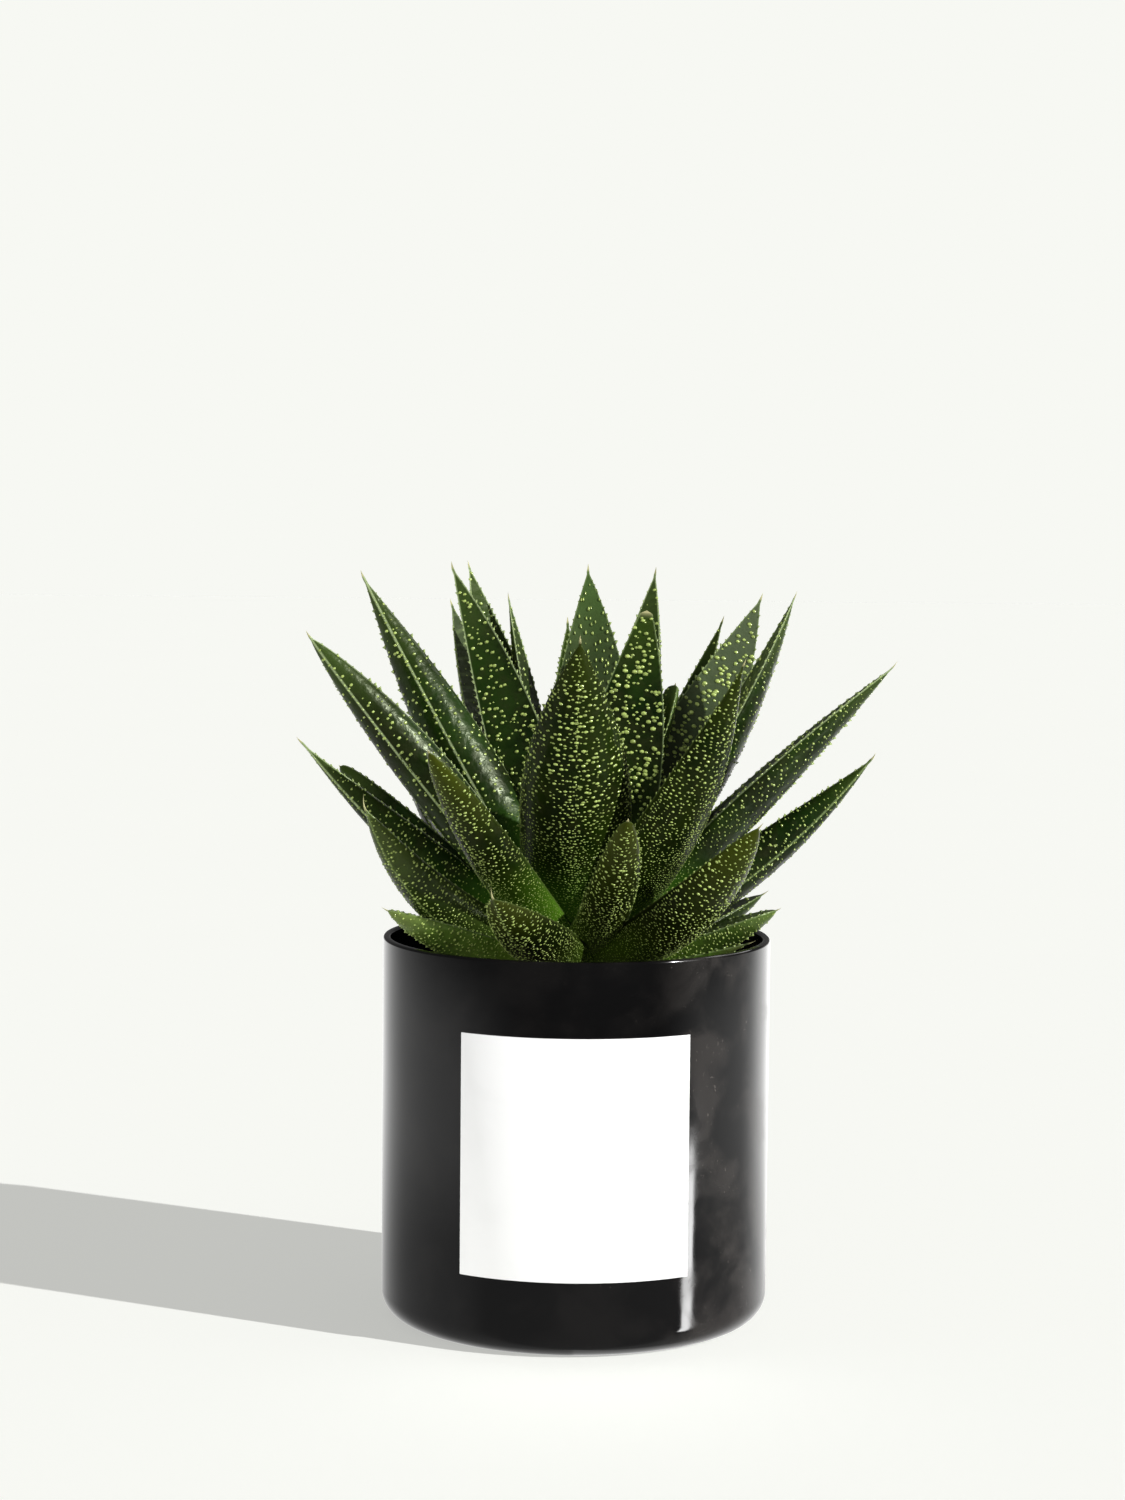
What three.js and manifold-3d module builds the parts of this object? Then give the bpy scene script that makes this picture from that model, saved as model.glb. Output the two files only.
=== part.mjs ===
// A warty, bristle-tipped gasteria growing in a straight glossy black pot.
//
// Millimetres, +Z up, +X to the right, -Y towards the front. The origin is the centre of the
// pot's flat underside. Every leaf is its own solid. All of them come from one leaf formula:
// a keeled, three-sided blade along a bowed line from the stem to its point, with teeth on
// its two margins and its keel, and warts raised in staggered rows over its faces.

import * as THREE from 'three';
import { mergeVertices } from 'three/addons/utils/BufferGeometryUtils.js';
import Module from 'manifold-3d';

const wasm = await Module();
wasm.setup();

// ---------------------------------------------------------------- driving dimensions

const POT = {
  radius: 45,
  height: 88.8,
  wall: 1.8,
  floor: 4,
  footRadius: 6,
  lipRadius: 0.6,
  sides: 64,
};

const GAP = 0.35; // clearance kept between pieces that touch on the real plant
const SAME_POINT = 1e-3; // corners closer than this are one corner

const LABEL = {
  bottom: 17.7,
  top: 72,
  facets: 12, // how many of the pot's facets it covers
  thickness: 0.3,
};

const SOIL = {
  top: 73,
  crown: 2.2, // how much the mix is heaped up round the stem
  grit: 0.7,
  margin: 0.5, // width left smooth at the wall and round the stem
  holeRadius: 9.4,
  holeFloor: 44,
  rings: 4,
  sides: 28,
};

const STEM = {
  foot: SOIL.holeFloor + GAP,
  collarRadius: 9,
  collar: 78,
  shoulderRadius: 9.6,
  shoulder: 90.5,
  tipRadius: 4.5,
  tip: 97,
  dome: 2,
  sides: 16,
};

const LEAF = {
  interval: 8.5, // length of leaf between two stations
  fewest: 4, // stations on the shortest leaf
  crown: 86, // height that the leaves seem to spring from
  rootReach: 6.4, // how far from the axis a level leaf starts
  rootHeight: 79.5,
  rootClimb: 15, // how much higher an upright leaf starts than a level one
  climbPower: 1.4,
  tooth: 0.7,
  toothPlace: 0.66, // of the way from one station to the next, as on a saw
  toothLean: 0.8, // how far a tooth leans forward, as a share of its height
  wart: 0.6,
  bristleRadius: 0.34,
  bristleRise: 0.3, // share of the curl that the bristle has taken half-way along
  channel: 0.1, // hollow of the upper face, as a share of the half-width
  lift: 0.4, // height of the margins over the leaf's line, as a share of the keel's depth
  baseThickness: 0.55, // depth of the keel where it clasps the stem, by half-width
  fleshyFrom: 0.3, // share of the leaf by which it has its full thickness
  twistedBy: 0.4, // share of the leaf from the stem in which it takes its roll
  smoothBase: 0.2, // share of the leaf from the stem with neither teeth nor warts
  smoothKeel: 0.45, // share of the keel with no teeth
  reliefFrom: 0.1, // the relief grows from here
  reliefFull: 0.4, // to its full height here
  roomMargin: 0.3, // what the room kept round a leaf gains over the gap, for twisted facets
};

const COLOURS = {
  green: { color: 0x2c4a1c, roughness: 0.35 },
  bronze: { color: 0x4a4a1e, roughness: 0.42 },
  pale: { color: 0x5f8a2a, roughness: 0.4 },
  pot: { color: 0x0b0b0d, roughness: 0.12 },
  label: { color: 0xf4f4f2, roughness: 0.6 },
  soil: { color: 0x2b211a, roughness: 0.95 },
  stem: { color: 0x7d8a4a, roughness: 0.7 },
};

// What a leaf has unless its own row says otherwise.
const PLAIN_LEAF = {
  tint: 'green',
  bow: -3, // below 0 the middle hangs out and the point turns up
  swing: 0, // moves the middle round the plant, counter-clockwise from above
  turn: 0, // degrees that the leaf has rolled by LEAF.twistedBy, right-handed towards the point
  peak: 0.38, // where the leaf is broadest, as a share of its length
  base: 0.78, // width where it clasps the stem, as a share of the broadest
  power: 0.9, // below 1 the point is blunter
  broken: 0, // share of the length snapped off at the point
  thickness: 0.86, // depth of the keel, as a share of the half-width
  bristle: 2,
  curl: 0.15, // how far the bristle curls up, as a share of its length
};

// Every leaf, from the front round to the back. `tip` is the end of its bristle, and `width`
// is taken at its broadest.
const LEAVES = [
  // the front, leaning outwards
  { name: 'front_tall', tip: [0.2, -36, 160], width: 25.5, bow: -2, swing: -0.6, peak: 0.42,
    base: 0.97, tint: 'bronze' },
  { name: 'front_short', tip: [11, -50, 121], width: 12, bow: -3, swing: 1, base: 1.7,
    power: 0.5, bristle: 1, tint: 'bronze' },
  { name: 'front_low', tip: [-19, -50, 104], width: 18.5, bow: -1, base: 1.15, power: 0.75,
    bristle: 2.5, curl: 0.8, tint: 'bronze' },
  { name: 'front_left', tip: [-33, -43, 135], width: 15, bow: -2, base: 0.95, power: 0.6,
    bristle: 1, tint: 'bronze' },
  { name: 'front_right', tip: [37, -34, 155], width: 20, bow: -5, base: 0.95, power: 1,
    tint: 'bronze' },
  { name: 'front_right_low', tip: [41, -38, 119], width: 21, bow: -5, power: 0.65, tint: 'bronze' },
  // the left side
  { name: 'left_low', tip: [-44, -26, 98], width: 19, bow: -1, power: 0.65 },
  { name: 'left_middle', tip: [-49.5, -26, 121.5], width: 15, bow: -7, turn: 30, power: 0.75,
    bristle: 3, curl: 0.9, tint: 'bronze' },
  { name: 'left_spread', tip: [-66, 4, 134], width: 11, bow: -2.5, turn: 60, power: 1.05 },
  { name: 'left_shaded', tip: [-57.5, 24, 126], width: 16, bow: -1.5, turn: 40, power: 0.45,
    bristle: 0.6 },
  { name: 'left_high', tip: [-62.5, -12, 159.5], width: 13, bow: 0.5, turn: 60, peak: 0.5,
    power: 0.75, thickness: 0.95 },
  { name: 'left_tall', tip: [-51.5, 8, 173], width: 15.5, bow: -0.5, turn: 95, power: 1 },
  // the right side
  { name: 'right_inside', tip: [41, -14, 89.5], width: 8, bow: -1, power: 0.8, tint: 'pale' },
  { name: 'right_low', tip: [47.5, -4, 96], width: 17, bow: -1.5, power: 0.6, bristle: 1.5 },
  { name: 'right_low_rear', tip: [45.5, 12, 98], width: 15, bow: -1.5, power: 0.7 },
  { name: 'right_spread', tip: [70, 6, 131], width: 12.5, bow: -3.8, turn: -65, curl: 0.4 },
  { name: 'right_high', tip: [73, -8, 153.5], width: 20, bow: 0.8, turn: 2, base: 1 },
  { name: 'right_tall', tip: [51, 8, 169], width: 18, bow: -4 },
  // the rear, seen between and above the others
  { name: 'rear_right_broad', tip: [44, 26, 168], width: 20, bow: -2, turn: 55 },
  { name: 'rear_right_thin', tip: [35.5, 42, 162], width: 12, bow: -2 },
  { name: 'rear_blunt', tip: [23, 16, 147], width: 9, bow: -1, power: 0.25, bristle: 0.8 },
  { name: 'rear_broken', tip: [16, 16, 164], width: 21.5, bow: -2.5, turn: 35, peak: 0.3,
    base: 1, broken: 0.05, bristle: 0.8 },
  { name: 'rear_edge', tip: [18.5, 32, 174], width: 18, bow: -4 },
  { name: 'rear_tall', tip: [2, 37, 174.5], width: 22, bow: -2.5, swing: -2 },
  { name: 'rear_far', tip: [-3, 54, 161], width: 13, bow: -1 },
  { name: 'rear_narrow', tip: [-17.5, 34, 167.5], width: 12, bow: -1, turn: 40 },
  { name: 'rear_left_broad', tip: [-31, 26, 175], width: 14.5, bow: 1, swing: -2.5, turn: -60 },
  { name: 'rear_left_high', tip: [-27.5, 40, 175], width: 17, bow: -1 },
  { name: 'rear_left_banded', tip: [-32, 46, 165.5], width: 17, bow: -2.5 },
  // the far side, which fills the rosette
  { name: 'far_left', tip: [-45, 42, 128], width: 18 },
  { name: 'far_middle', tip: [-14, 60, 134], width: 18, tint: 'bronze' },
  { name: 'far_right', tip: [23, 58, 138], width: 18 },
  { name: 'far_side', tip: [46, 38, 126], width: 17 },
  { name: 'far_low_left', tip: [-32, 36, 104], width: 15 },
  { name: 'far_low_middle', tip: [4, 50, 105], width: 16, tint: 'bronze' },
  { name: 'far_low_right', tip: [34, 36, 104], width: 15 },
  // the young leaves in the heart
  { name: 'heart_left', tip: [-8, 4, 138], width: 12, bow: 0 },
  { name: 'heart_right', tip: [8, 1, 136], width: 12, bow: 0 },
  { name: 'heart_middle', tip: [0, 8, 134], width: 10, bow: 0, tint: 'pale' },
].map((row) => ({ ...PLAIN_LEAF, ...row }));

// ---------------------------------------------------------------- solids and meshes

function toSolid(geometry) {
  const bare = geometry.clone();
  bare.deleteAttribute('normal');
  bare.deleteAttribute('uv');
  const merged = mergeVertices(bare, SAME_POINT);
  return new wasm.Manifold(new wasm.Mesh({
    numProp: 3,
    vertProperties: new Float32Array(merged.attributes.position.array),
    triVerts: new Uint32Array(merged.index.array),
  }));
}

function toGeometry(solid) {
  const mesh = solid.getMesh();
  const geometry = new THREE.BufferGeometry();
  geometry.setAttribute('position', new THREE.BufferAttribute(mesh.vertProperties, 3));
  geometry.setIndex(new THREE.BufferAttribute(mesh.triVerts, 1));
  return geometry;
}

function largestBody(solid) {
  return solid.decompose().reduce((a, b) => (b.volume() > a.volume() ? b : a));
}

// The main body left by a cut. Joining its closest corners can pinch off a scrap, so the
// scraps are dropped both before and after.
function tidyBody(solid) {
  return largestBody(toSolid(toGeometry(largestBody(solid))));
}

function makeMesh(name, geometry, finish) {
  const material = new THREE.MeshStandardMaterial({ metalness: 0, flatShading: true, ...finish });
  const mesh = new THREE.Mesh(geometry, material);
  mesh.name = name;
  return mesh;
}

// Turned pieces are made round Y by LatheGeometry and stood up along Z.
function lathe(profile, sides) {
  return new THREE.LatheGeometry(profile, sides).rotateX(Math.PI / 2);
}

// Writes a closed mesh corner by corner. A corner is known by its number.
class MeshWriter {
  constructor() {
    this.positions = [];
    this.index = [];
  }

  add(point) {
    this.positions.push(point.x, point.y, point.z);
    return this.positions.length / 3 - 1;
  }

  at(corner) {
    return new THREE.Vector3().fromArray(this.positions, 3 * corner);
  }

  // Triangles from a hub to each side of a closed ring.
  fan(hub, ring) {
    for (let i = 0; i < ring.length; i += 1) {
      this.index.push(hub, ring[i], ring[(i + 1) % ring.length]);
    }
  }

  // A polygon, in triangles that all start at its first corner.
  fill(polygon) {
    for (let i = 1; i + 1 < polygon.length; i += 1) {
      this.index.push(polygon[0], polygon[i], polygon[i + 1]);
    }
  }

  geometry() {
    const geometry = new THREE.BufferGeometry();
    geometry.setAttribute('position', new THREE.Float32BufferAttribute(this.positions, 3));
    geometry.setIndex(this.index);
    return geometry;
  }
}

// ---------------------------------------------------------------- pot, label, soil, stem

function arcPoints(centreR, centreZ, radius, fromDeg, toDeg, steps) {
  const points = [];
  for (let i = 0; i <= steps; i += 1) {
    const a = THREE.MathUtils.degToRad(fromDeg + ((toDeg - fromDeg) * i) / steps);
    points.push(new THREE.Vector2(centreR + radius * Math.cos(a), centreZ + radius * Math.sin(a)));
  }
  return points;
}

function makePot() {
  const { radius, height, wall, floor, footRadius, lipRadius, sides } = POT;
  const inner = radius - wall;
  const innerFoot = footRadius - wall;
  const profile = [
    new THREE.Vector2(0, 0),
    ...arcPoints(radius - footRadius, footRadius, footRadius, -90, 0, 3),
    ...arcPoints(radius - lipRadius, height - lipRadius, lipRadius, 0, 90, 1),
    ...arcPoints(inner + lipRadius, height - lipRadius, lipRadius, 90, 180, 1),
    ...arcPoints(inner - innerFoot, floor + innerFoot, innerFoot, 0, -90, 2),
    new THREE.Vector2(0, floor),
  ];
  return makeMesh('pot', lathe(profile, sides), COLOURS.pot);
}

// A sticker with the same facets as the pot, a gap off its wall, in the middle of the front.
function makeLabel() {
  const { bottom, top, facets, thickness } = LABEL;
  const inner = POT.radius + GAP;
  const outer = inner + thickness;
  const writer = new MeshWriter();
  const sections = [];
  for (let i = 0; i <= facets; i += 1) {
    const angle = ((i - facets / 2) * 2 * Math.PI) / POT.sides;
    const corners = [[inner, bottom], [outer, bottom], [outer, top], [inner, top]];
    sections.push(corners.map(([r, z]) => (
      writer.add(new THREE.Vector3(r * Math.sin(angle), -r * Math.cos(angle), z))
    )));
  }
  for (let i = 0; i < facets; i += 1) {
    const [here, there] = [sections[i], sections[i + 1]];
    for (let j = 0; j < here.length; j += 1) {
      const next = (j + 1) % here.length;
      writer.fill([here[j], there[j], there[next], here[next]]);
    }
  }
  writer.fill(sections[0]);
  writer.fill([...sections[facets]].reverse());
  return makeMesh('label', writer.geometry(), COLOURS.label);
}

// A small repeatable sequence of numbers from 0 to 1.
function makeRandom(seed) {
  let state = seed;
  return () => {
    state = (state * 1664525 + 1013904223) % 4294967296;
    return state / 4294967296;
  };
}

// The mix that fills the pot, heaped up round the stem, with a plain hole for the stem.
function makeSoil() {
  const { top, crown, grit, margin, holeRadius, holeFloor, rings, sides } = SOIL;
  const bottom = POT.floor + GAP;
  const inner = POT.radius - POT.wall;
  const outer = inner * Math.cos(Math.PI / POT.sides) - GAP;
  const foot = POT.footRadius - POT.wall;
  const profile = [
    new THREE.Vector2(0, bottom),
    new THREE.Vector2(outer - foot, bottom),
    new THREE.Vector2(outer, bottom + foot),
  ];
  for (let i = 0; i <= rings; i += 1) {
    const r = THREE.MathUtils.lerp(outer, holeRadius, i / rings);
    const heap = crown * (1 - (r / outer) ** 2);
    profile.push(new THREE.Vector2(r, top + heap));
  }
  profile.push(new THREE.Vector2(holeRadius, holeFloor), new THREE.Vector2(0, holeFloor));
  const geometry = lathe(profile, sides);
  geometry.deleteAttribute('normal');
  geometry.deleteAttribute('uv');
  const merged = mergeVertices(geometry, SAME_POINT);
  const random = makeRandom(7);
  const position = merged.attributes.position;
  for (let i = 0; i < position.count; i += 1) {
    const r = Math.hypot(position.getX(i), position.getY(i));
    if (position.getZ(i) > top && r > holeRadius + margin && r < outer - margin) {
      position.setZ(i, position.getZ(i) + grit * (2 * random() - 1));
    }
  }
  return makeMesh('soil', merged, COLOURS.soil);
}

// The short stem with its root stub, or with `grow` the room that the leaves leave round it.
function stemGeometry(grow = 0) {
  const { foot, collarRadius, collar, shoulderRadius, shoulder, tipRadius, tip, dome } = STEM;
  const profile = [
    new THREE.Vector2(0, foot - grow),
    new THREE.Vector2(collarRadius + grow, foot - grow),
    new THREE.Vector2(collarRadius + grow, collar),
    new THREE.Vector2(shoulderRadius + grow, shoulder),
    new THREE.Vector2(tipRadius + grow, tip),
    new THREE.Vector2(0, tip + dome + grow),
  ];
  return lathe(profile, STEM.sides);
}

// ---------------------------------------------------------------- the leaf formula

// The columns of a leaf's three-sided section, as shares of the half-width along the side
// (s), and of the keel's depth (k) and the channel's (c) along the upper face's normal.
// `grow` is the way that a column moves to grow the leaf, and `edge` the way its teeth point.
const COLUMNS = [
  { s: 1, k: 0, c: 0, grow: [1.5, 0.2], edge: [1, 0] },
  { s: 0.52, k: 0, c: -0.7, grow: [0, 1] },
  { s: 0, k: 0, c: -1, grow: [0, 1] },
  { s: -0.52, k: 0, c: -0.7, grow: [0, 1] },
  { s: -1, k: 0, c: 0, grow: [-1.5, 0.2], edge: [-1, 0] },
  { s: -0.64, k: -0.66, c: 0, grow: [-0.9, -0.9] },
  { s: 0, k: -1, c: 0, grow: [0, -1.5], edge: [0, -1] },
  { s: 0.64, k: -0.66, c: 0, grow: [0.9, -0.9] },
];

// Half-width along the leaf, from 0 at the stem to 1 at the point: it swells from a
// clasping base to `peak`, then runs in to the point.
function outline(t, peak, base) {
  if (t < peak) {
    return base + (1 - base) * Math.sin((Math.PI / 2) * (t / peak));
  }
  return Math.cos((Math.PI / 2) * ((t - peak) / (1 - peak)));
}

function smooth(t, from, to) {
  const x = THREE.MathUtils.clamp((t - from) / (to - from), 0, 1);
  return x * x * (3 - 2 * x);
}

function reliefAt(t) {
  return smooth(t, LEAF.reliefFrom, LEAF.reliefFull);
}

// The leaf's line from its root on the stem to the foot of its bristle.
function leafLine(leaf) {
  const tip = new THREE.Vector3(...leaf.tip);
  const reach = Math.hypot(tip.x, tip.y);
  const out = new THREE.Vector3(tip.x / reach, tip.y / reach, 0);
  const elevation = Math.atan2(tip.z - LEAF.crown, reach);
  const uprightness = Math.max(elevation, 0) / (Math.PI / 2);
  const root = out.clone().multiplyScalar(LEAF.rootReach * Math.cos(elevation));
  root.z = LEAF.rootHeight + LEAF.rootClimb * uprightness ** LEAF.climbPower;
  const side = new THREE.Vector3(-out.y, out.x, 0);
  const chord = tip.clone().sub(root).normalize();
  const rise = chord.clone().cross(side).normalize();
  const end = tip.addScaledVector(chord, -leaf.bristle);
  const middle = root.clone().add(end).multiplyScalar(0.5);
  middle.addScaledVector(rise, 2 * leaf.bow);
  middle.addScaledVector(side, 2 * leaf.swing);
  return { curve: new THREE.QuadraticBezierCurve3(root, middle, end), side, elevation };
}

// The place, directions and sizes of the leaf's section at each share of its length.
function makeSection(leaf) {
  const { curve, side } = leafLine(leaf);
  const turn = THREE.MathUtils.degToRad(leaf.turn);
  const thinnest = 1.4 * LEAF.bristleRadius;
  return (t) => {
    const tangent = curve.getTangent(t);
    const across = side.clone().addScaledVector(tangent, -side.dot(tangent)).normalize();
    across.applyAxisAngle(tangent, turn * smooth(t, 0, LEAF.twistedBy));
    const up = tangent.clone().cross(across).normalize();
    const share = outline(t * (1 - leaf.broken), leaf.peak, leaf.base) ** leaf.power;
    const a = Math.max((leaf.width / 2) * share, thinnest);
    const full = smooth(t, 0, LEAF.fleshyFrom);
    const depth = THREE.MathUtils.lerp(LEAF.baseThickness, leaf.thickness, full);
    const keel = Math.max(a * depth, thinnest);
    const hollow = a * LEAF.channel * smooth(1 - t, 0, LEAF.fleshyFrom);
    return { centre: curve.getPoint(t), tangent, across, up, a, keel, hollow };
  };
}

function sectionPoint(section, column, grow) {
  const { s, k, c, grow: way } = column;
  const sideways = s * section.a + way[0] * grow;
  const upwards = (k + LEAF.lift) * section.keel + c * section.hollow + way[1] * grow;
  return section.centre.clone()
    .addScaledVector(section.across, sideways)
    .addScaledVector(section.up, upwards);
}

// One tooth on a margin or on the keel, leaning forward. The other columns have none.
function addTooth(writer, section, column, t) {
  const smoothTo = column.k < 0 ? LEAF.smoothKeel : LEAF.smoothBase;
  if (!column.edge || t < smoothTo) {
    return null;
  }
  const size = LEAF.tooth * reliefAt(t);
  const point = sectionPoint(section, column, 0)
    .addScaledVector(section.across, column.edge[0] * size)
    .addScaledVector(section.up, column.edge[1] * size)
    .addScaledVector(section.tangent, LEAF.toothLean * size);
  return writer.add(point);
}

// A wart raised from the middle of a four-cornered patch, whose outline is `polygon`.
function addWart(writer, corners, polygon, size) {
  const [a, b, c, d] = corners.map((corner) => writer.at(corner));
  const normal = c.clone().sub(a).cross(d.clone().sub(b)).normalize();
  const middle = a.add(b).add(c).add(d).multiplyScalar(0.25);
  writer.fan(writer.add(middle.addScaledVector(normal, size)), polygon);
}

// A plain four-cornered patch, split along the diagonal that stands further out.
function addBulge(writer, [a, b, c, d]) {
  const [p, q, r, s] = [a, b, c, d].map((corner) => writer.at(corner));
  const normal = r.clone().sub(p).cross(s.clone().sub(q));
  const outer = p.add(r).sub(q).sub(s).dot(normal) > 0;
  writer.fill(outer ? [a, b, c, d] : [b, c, d, a]);
}

// The horny bristle that ends the leaf: a thin cone that curls up.
function addBristle(writer, leaf, end, lastRing, grow) {
  const length = leaf.bristle + grow;
  const curl = leaf.curl * length;
  const radius = 0.7 * LEAF.bristleRadius + grow;
  const middle = end.centre.clone().addScaledVector(end.tangent, 0.5 * length)
    .addScaledVector(end.up, LEAF.bristleRise * curl);
  const ring = COLUMNS.map((_, j) => {
    const angle = (2 * Math.PI * j) / COLUMNS.length;
    return writer.add(middle.clone().addScaledVector(end.across, radius * Math.cos(angle))
      .addScaledVector(end.up, radius * Math.sin(angle)));
  });
  for (let j = 0; j < ring.length; j += 1) {
    const next = (j + 1) % ring.length;
    writer.fill([lastRing[j], lastRing[next], ring[next], ring[j]]);
  }
  const point = end.centre.clone().addScaledVector(end.tangent, length)
    .addScaledVector(end.up, curl);
  writer.fan(writer.add(point), ring);
}

// A leaf with its teeth and warts. With `clearance` it is the plain shape that a neighbour
// has to stay out of: without relief, but grown by what the relief stands out and the gap.
function leafGeometry(leaf, clearance = false) {
  const writer = new MeshWriter();
  const sectionAt = makeSection(leaf);
  const length = leafLine(leaf).curve.getLength();
  const stations = Math.max(LEAF.fewest, Math.round(length / LEAF.interval));
  const growAt = (t) => (clearance ? GAP + LEAF.roomMargin + LEAF.tooth * reliefAt(t) : 0);
  const rings = [];
  for (let i = 0; i <= stations; i += 1) {
    const t = i / stations;
    const section = sectionAt(t);
    const back = i === 0 ? -growAt(0) : 0; // the room also reaches behind the root
    rings.push(COLUMNS.map((column) => writer.add(
      sectionPoint(section, column, growAt(t)).addScaledVector(section.tangent, back),
    )));
  }
  for (let i = 0; i < stations; i += 1) {
    const t = (i + 0.5) / stations;
    const toothSection = sectionAt((i + LEAF.toothPlace) / stations);
    const teeth = COLUMNS.map((column) => (
      clearance ? null : addTooth(writer, toothSection, column, t)
    ));
    for (let j = 0; j < COLUMNS.length; j += 1) {
      const next = (j + 1) % COLUMNS.length;
      const corners = [rings[i][j], rings[i][next], rings[i + 1][next], rings[i + 1][j]];
      const [a, b, c, d] = corners;
      let polygon = corners;
      if (teeth[j] !== null) {
        polygon = [teeth[j], a, b, c, d];
      } else if (teeth[next] !== null) {
        polygon = [teeth[next], c, d, a, b];
      }
      const hasWart = t > LEAF.smoothBase && i < stations - 1 && (i + j) % 2 === 0;
      if (clearance) {
        addBulge(writer, corners);
      } else if (hasWart) {
        addWart(writer, corners, polygon, LEAF.wart * reliefAt(t));
      } else {
        writer.fill(polygon);
      }
    }
  }
  const start = sectionAt(0);
  const rootHub = start.centre.clone().addScaledVector(start.up, -LEAF.lift * start.keel)
    .addScaledVector(start.tangent, -growAt(0));
  writer.fan(writer.add(rootHub), [...rings[0]].reverse());
  addBristle(writer, leaf, sectionAt(1), rings[stations], growAt(1));
  return writer.geometry();
}

// ---------------------------------------------------------------- assembly

// The leaves are made from the heart outwards. Each is cut clear of the stem and of every
// leaf further in, as the leaves of a rosette wrap round the younger ones.
function makeLeaves() {
  const byHeart = [...LEAVES].sort((a, b) => leafLine(b).elevation - leafLine(a).elevation);
  const taken = [toSolid(stemGeometry(GAP))];
  const made = new Map();
  for (const leaf of byHeart) {
    let solid = toSolid(leafGeometry(leaf));
    for (const room of taken) {
      solid = solid.subtract(room);
    }
    made.set(leaf, tidyBody(solid));
    taken.push(toSolid(leafGeometry(leaf, true)));
  }
  return LEAVES.map((leaf) => (
    makeMesh(`leaf_${leaf.name}`, toGeometry(made.get(leaf)), COLOURS[leaf.tint])
  ));
}

const plant = new THREE.Group();
plant.add(makeMesh('stem', stemGeometry(), COLOURS.stem), ...makeLeaves());

const pot = new THREE.Group();
pot.add(makePot(), makeLabel(), makeSoil());

const group = new THREE.Group();
group.add(pot, plant);

export default group;
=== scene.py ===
"""A potted gasteria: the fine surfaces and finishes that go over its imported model.

The plant stands in a straight glossy black pot with a bare white label. Each leaf is shaped from
one blank, by the formula that grew its solid, and then gets its warts, teeth and bristle.
"""
import logging
import math
from collections.abc import Callable, Iterable
from dataclasses import dataclass, field
from enum import Enum

import bmesh
import bpy
import numpy as np
from mathutils import Matrix, Vector, noise
from mathutils.bvhtree import BVHTree


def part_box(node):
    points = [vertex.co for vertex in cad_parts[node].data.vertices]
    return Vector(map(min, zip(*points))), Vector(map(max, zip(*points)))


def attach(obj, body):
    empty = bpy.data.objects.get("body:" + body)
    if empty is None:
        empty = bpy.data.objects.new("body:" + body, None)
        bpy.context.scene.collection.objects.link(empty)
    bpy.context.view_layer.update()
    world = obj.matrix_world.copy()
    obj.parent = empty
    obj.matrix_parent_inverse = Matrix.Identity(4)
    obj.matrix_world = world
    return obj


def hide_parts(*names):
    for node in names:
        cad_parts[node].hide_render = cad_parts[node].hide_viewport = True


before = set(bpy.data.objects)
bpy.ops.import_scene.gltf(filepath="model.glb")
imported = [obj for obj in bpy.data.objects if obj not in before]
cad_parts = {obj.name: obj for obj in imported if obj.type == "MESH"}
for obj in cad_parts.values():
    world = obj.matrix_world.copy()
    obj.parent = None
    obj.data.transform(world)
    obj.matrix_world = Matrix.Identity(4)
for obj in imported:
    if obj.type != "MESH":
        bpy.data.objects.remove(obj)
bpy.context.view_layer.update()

log = logging.getLogger("gasteria")

MM = 0.001
NEAR = 0.05 * MM
BODY = "root"

Colour = tuple[float, float, float]
Place = tuple[float, float, float]
Socket = bpy.types.NodeSocket
Feed = Socket | float | Colour
Random = np.random.Generator


# ---------------------------------------------------------------------------------------------
# Modelling by hand: selecting, editing and finishing one mesh at a time
# ---------------------------------------------------------------------------------------------


class Part(Enum):
    """The parts of a mesh that are selected in edit mode."""

    VERT = "verts"
    EDGE = "edges"
    FACE = "faces"


def deselect_all() -> None:
    """Leaves no object selected, the model's own nodes among them."""
    for item in bpy.context.selected_objects:
        item.select_set(False)


def pick(piece: bpy.types.Object) -> None:
    """Makes one piece the only selected and active object.

    Args:
        piece: The piece.
    """
    deselect_all()
    piece.select_set(True)
    bpy.context.view_layer.objects.active = piece


def start_piece(name: str, add: Callable[..., set[str]], **sizes: object) -> bpy.types.Object:
    """Adds a primitive at its size and place, and names it.

    Args:
        name: The new object's name, which its mesh takes too.
        add: The operator that adds the primitive.
        sizes: The operator's own settings.

    Returns:
        The new object, selected and active.
    """
    deselect_all()
    add(**sizes)
    piece = bpy.context.view_layer.objects.active
    piece.name = name
    piece.data.name = name
    return piece


class Editing:
    """Edit mode on one piece, with its parts selected in code."""

    def __init__(self, piece: bpy.types.Object) -> None:
        """Remembers the piece."""
        self.piece = piece

    def __enter__(self) -> "Editing":
        """Enters edit mode with nothing selected.

        Returns:
            The editing itself.
        """
        pick(self.piece)
        bpy.ops.object.mode_set(mode="EDIT")
        bpy.ops.mesh.select_all(action="DESELECT")
        return self

    def __exit__(self, *problem: object) -> None:
        """Goes back to object mode."""
        bpy.ops.object.mode_set(mode="OBJECT")

    def select(self, kind: Part, wanted: Callable[[list[Vector]], bool]) -> None:
        """Selects only the parts whose corners pass a test.

        Args:
            kind: Which parts are looked at.
            wanted: Tells from the corners' places whether one is selected.
        """
        bpy.ops.mesh.select_mode(type=kind.name)
        bpy.ops.mesh.select_all(action="DESELECT")
        form = bmesh.from_edit_mesh(self.piece.data)
        for part in getattr(form, kind.value):
            part.select_set(wanted([part.co] if kind is Part.VERT else [corner.co for corner in part.verts]))
        bmesh.update_edit_mesh(self.piece.data)


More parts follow.
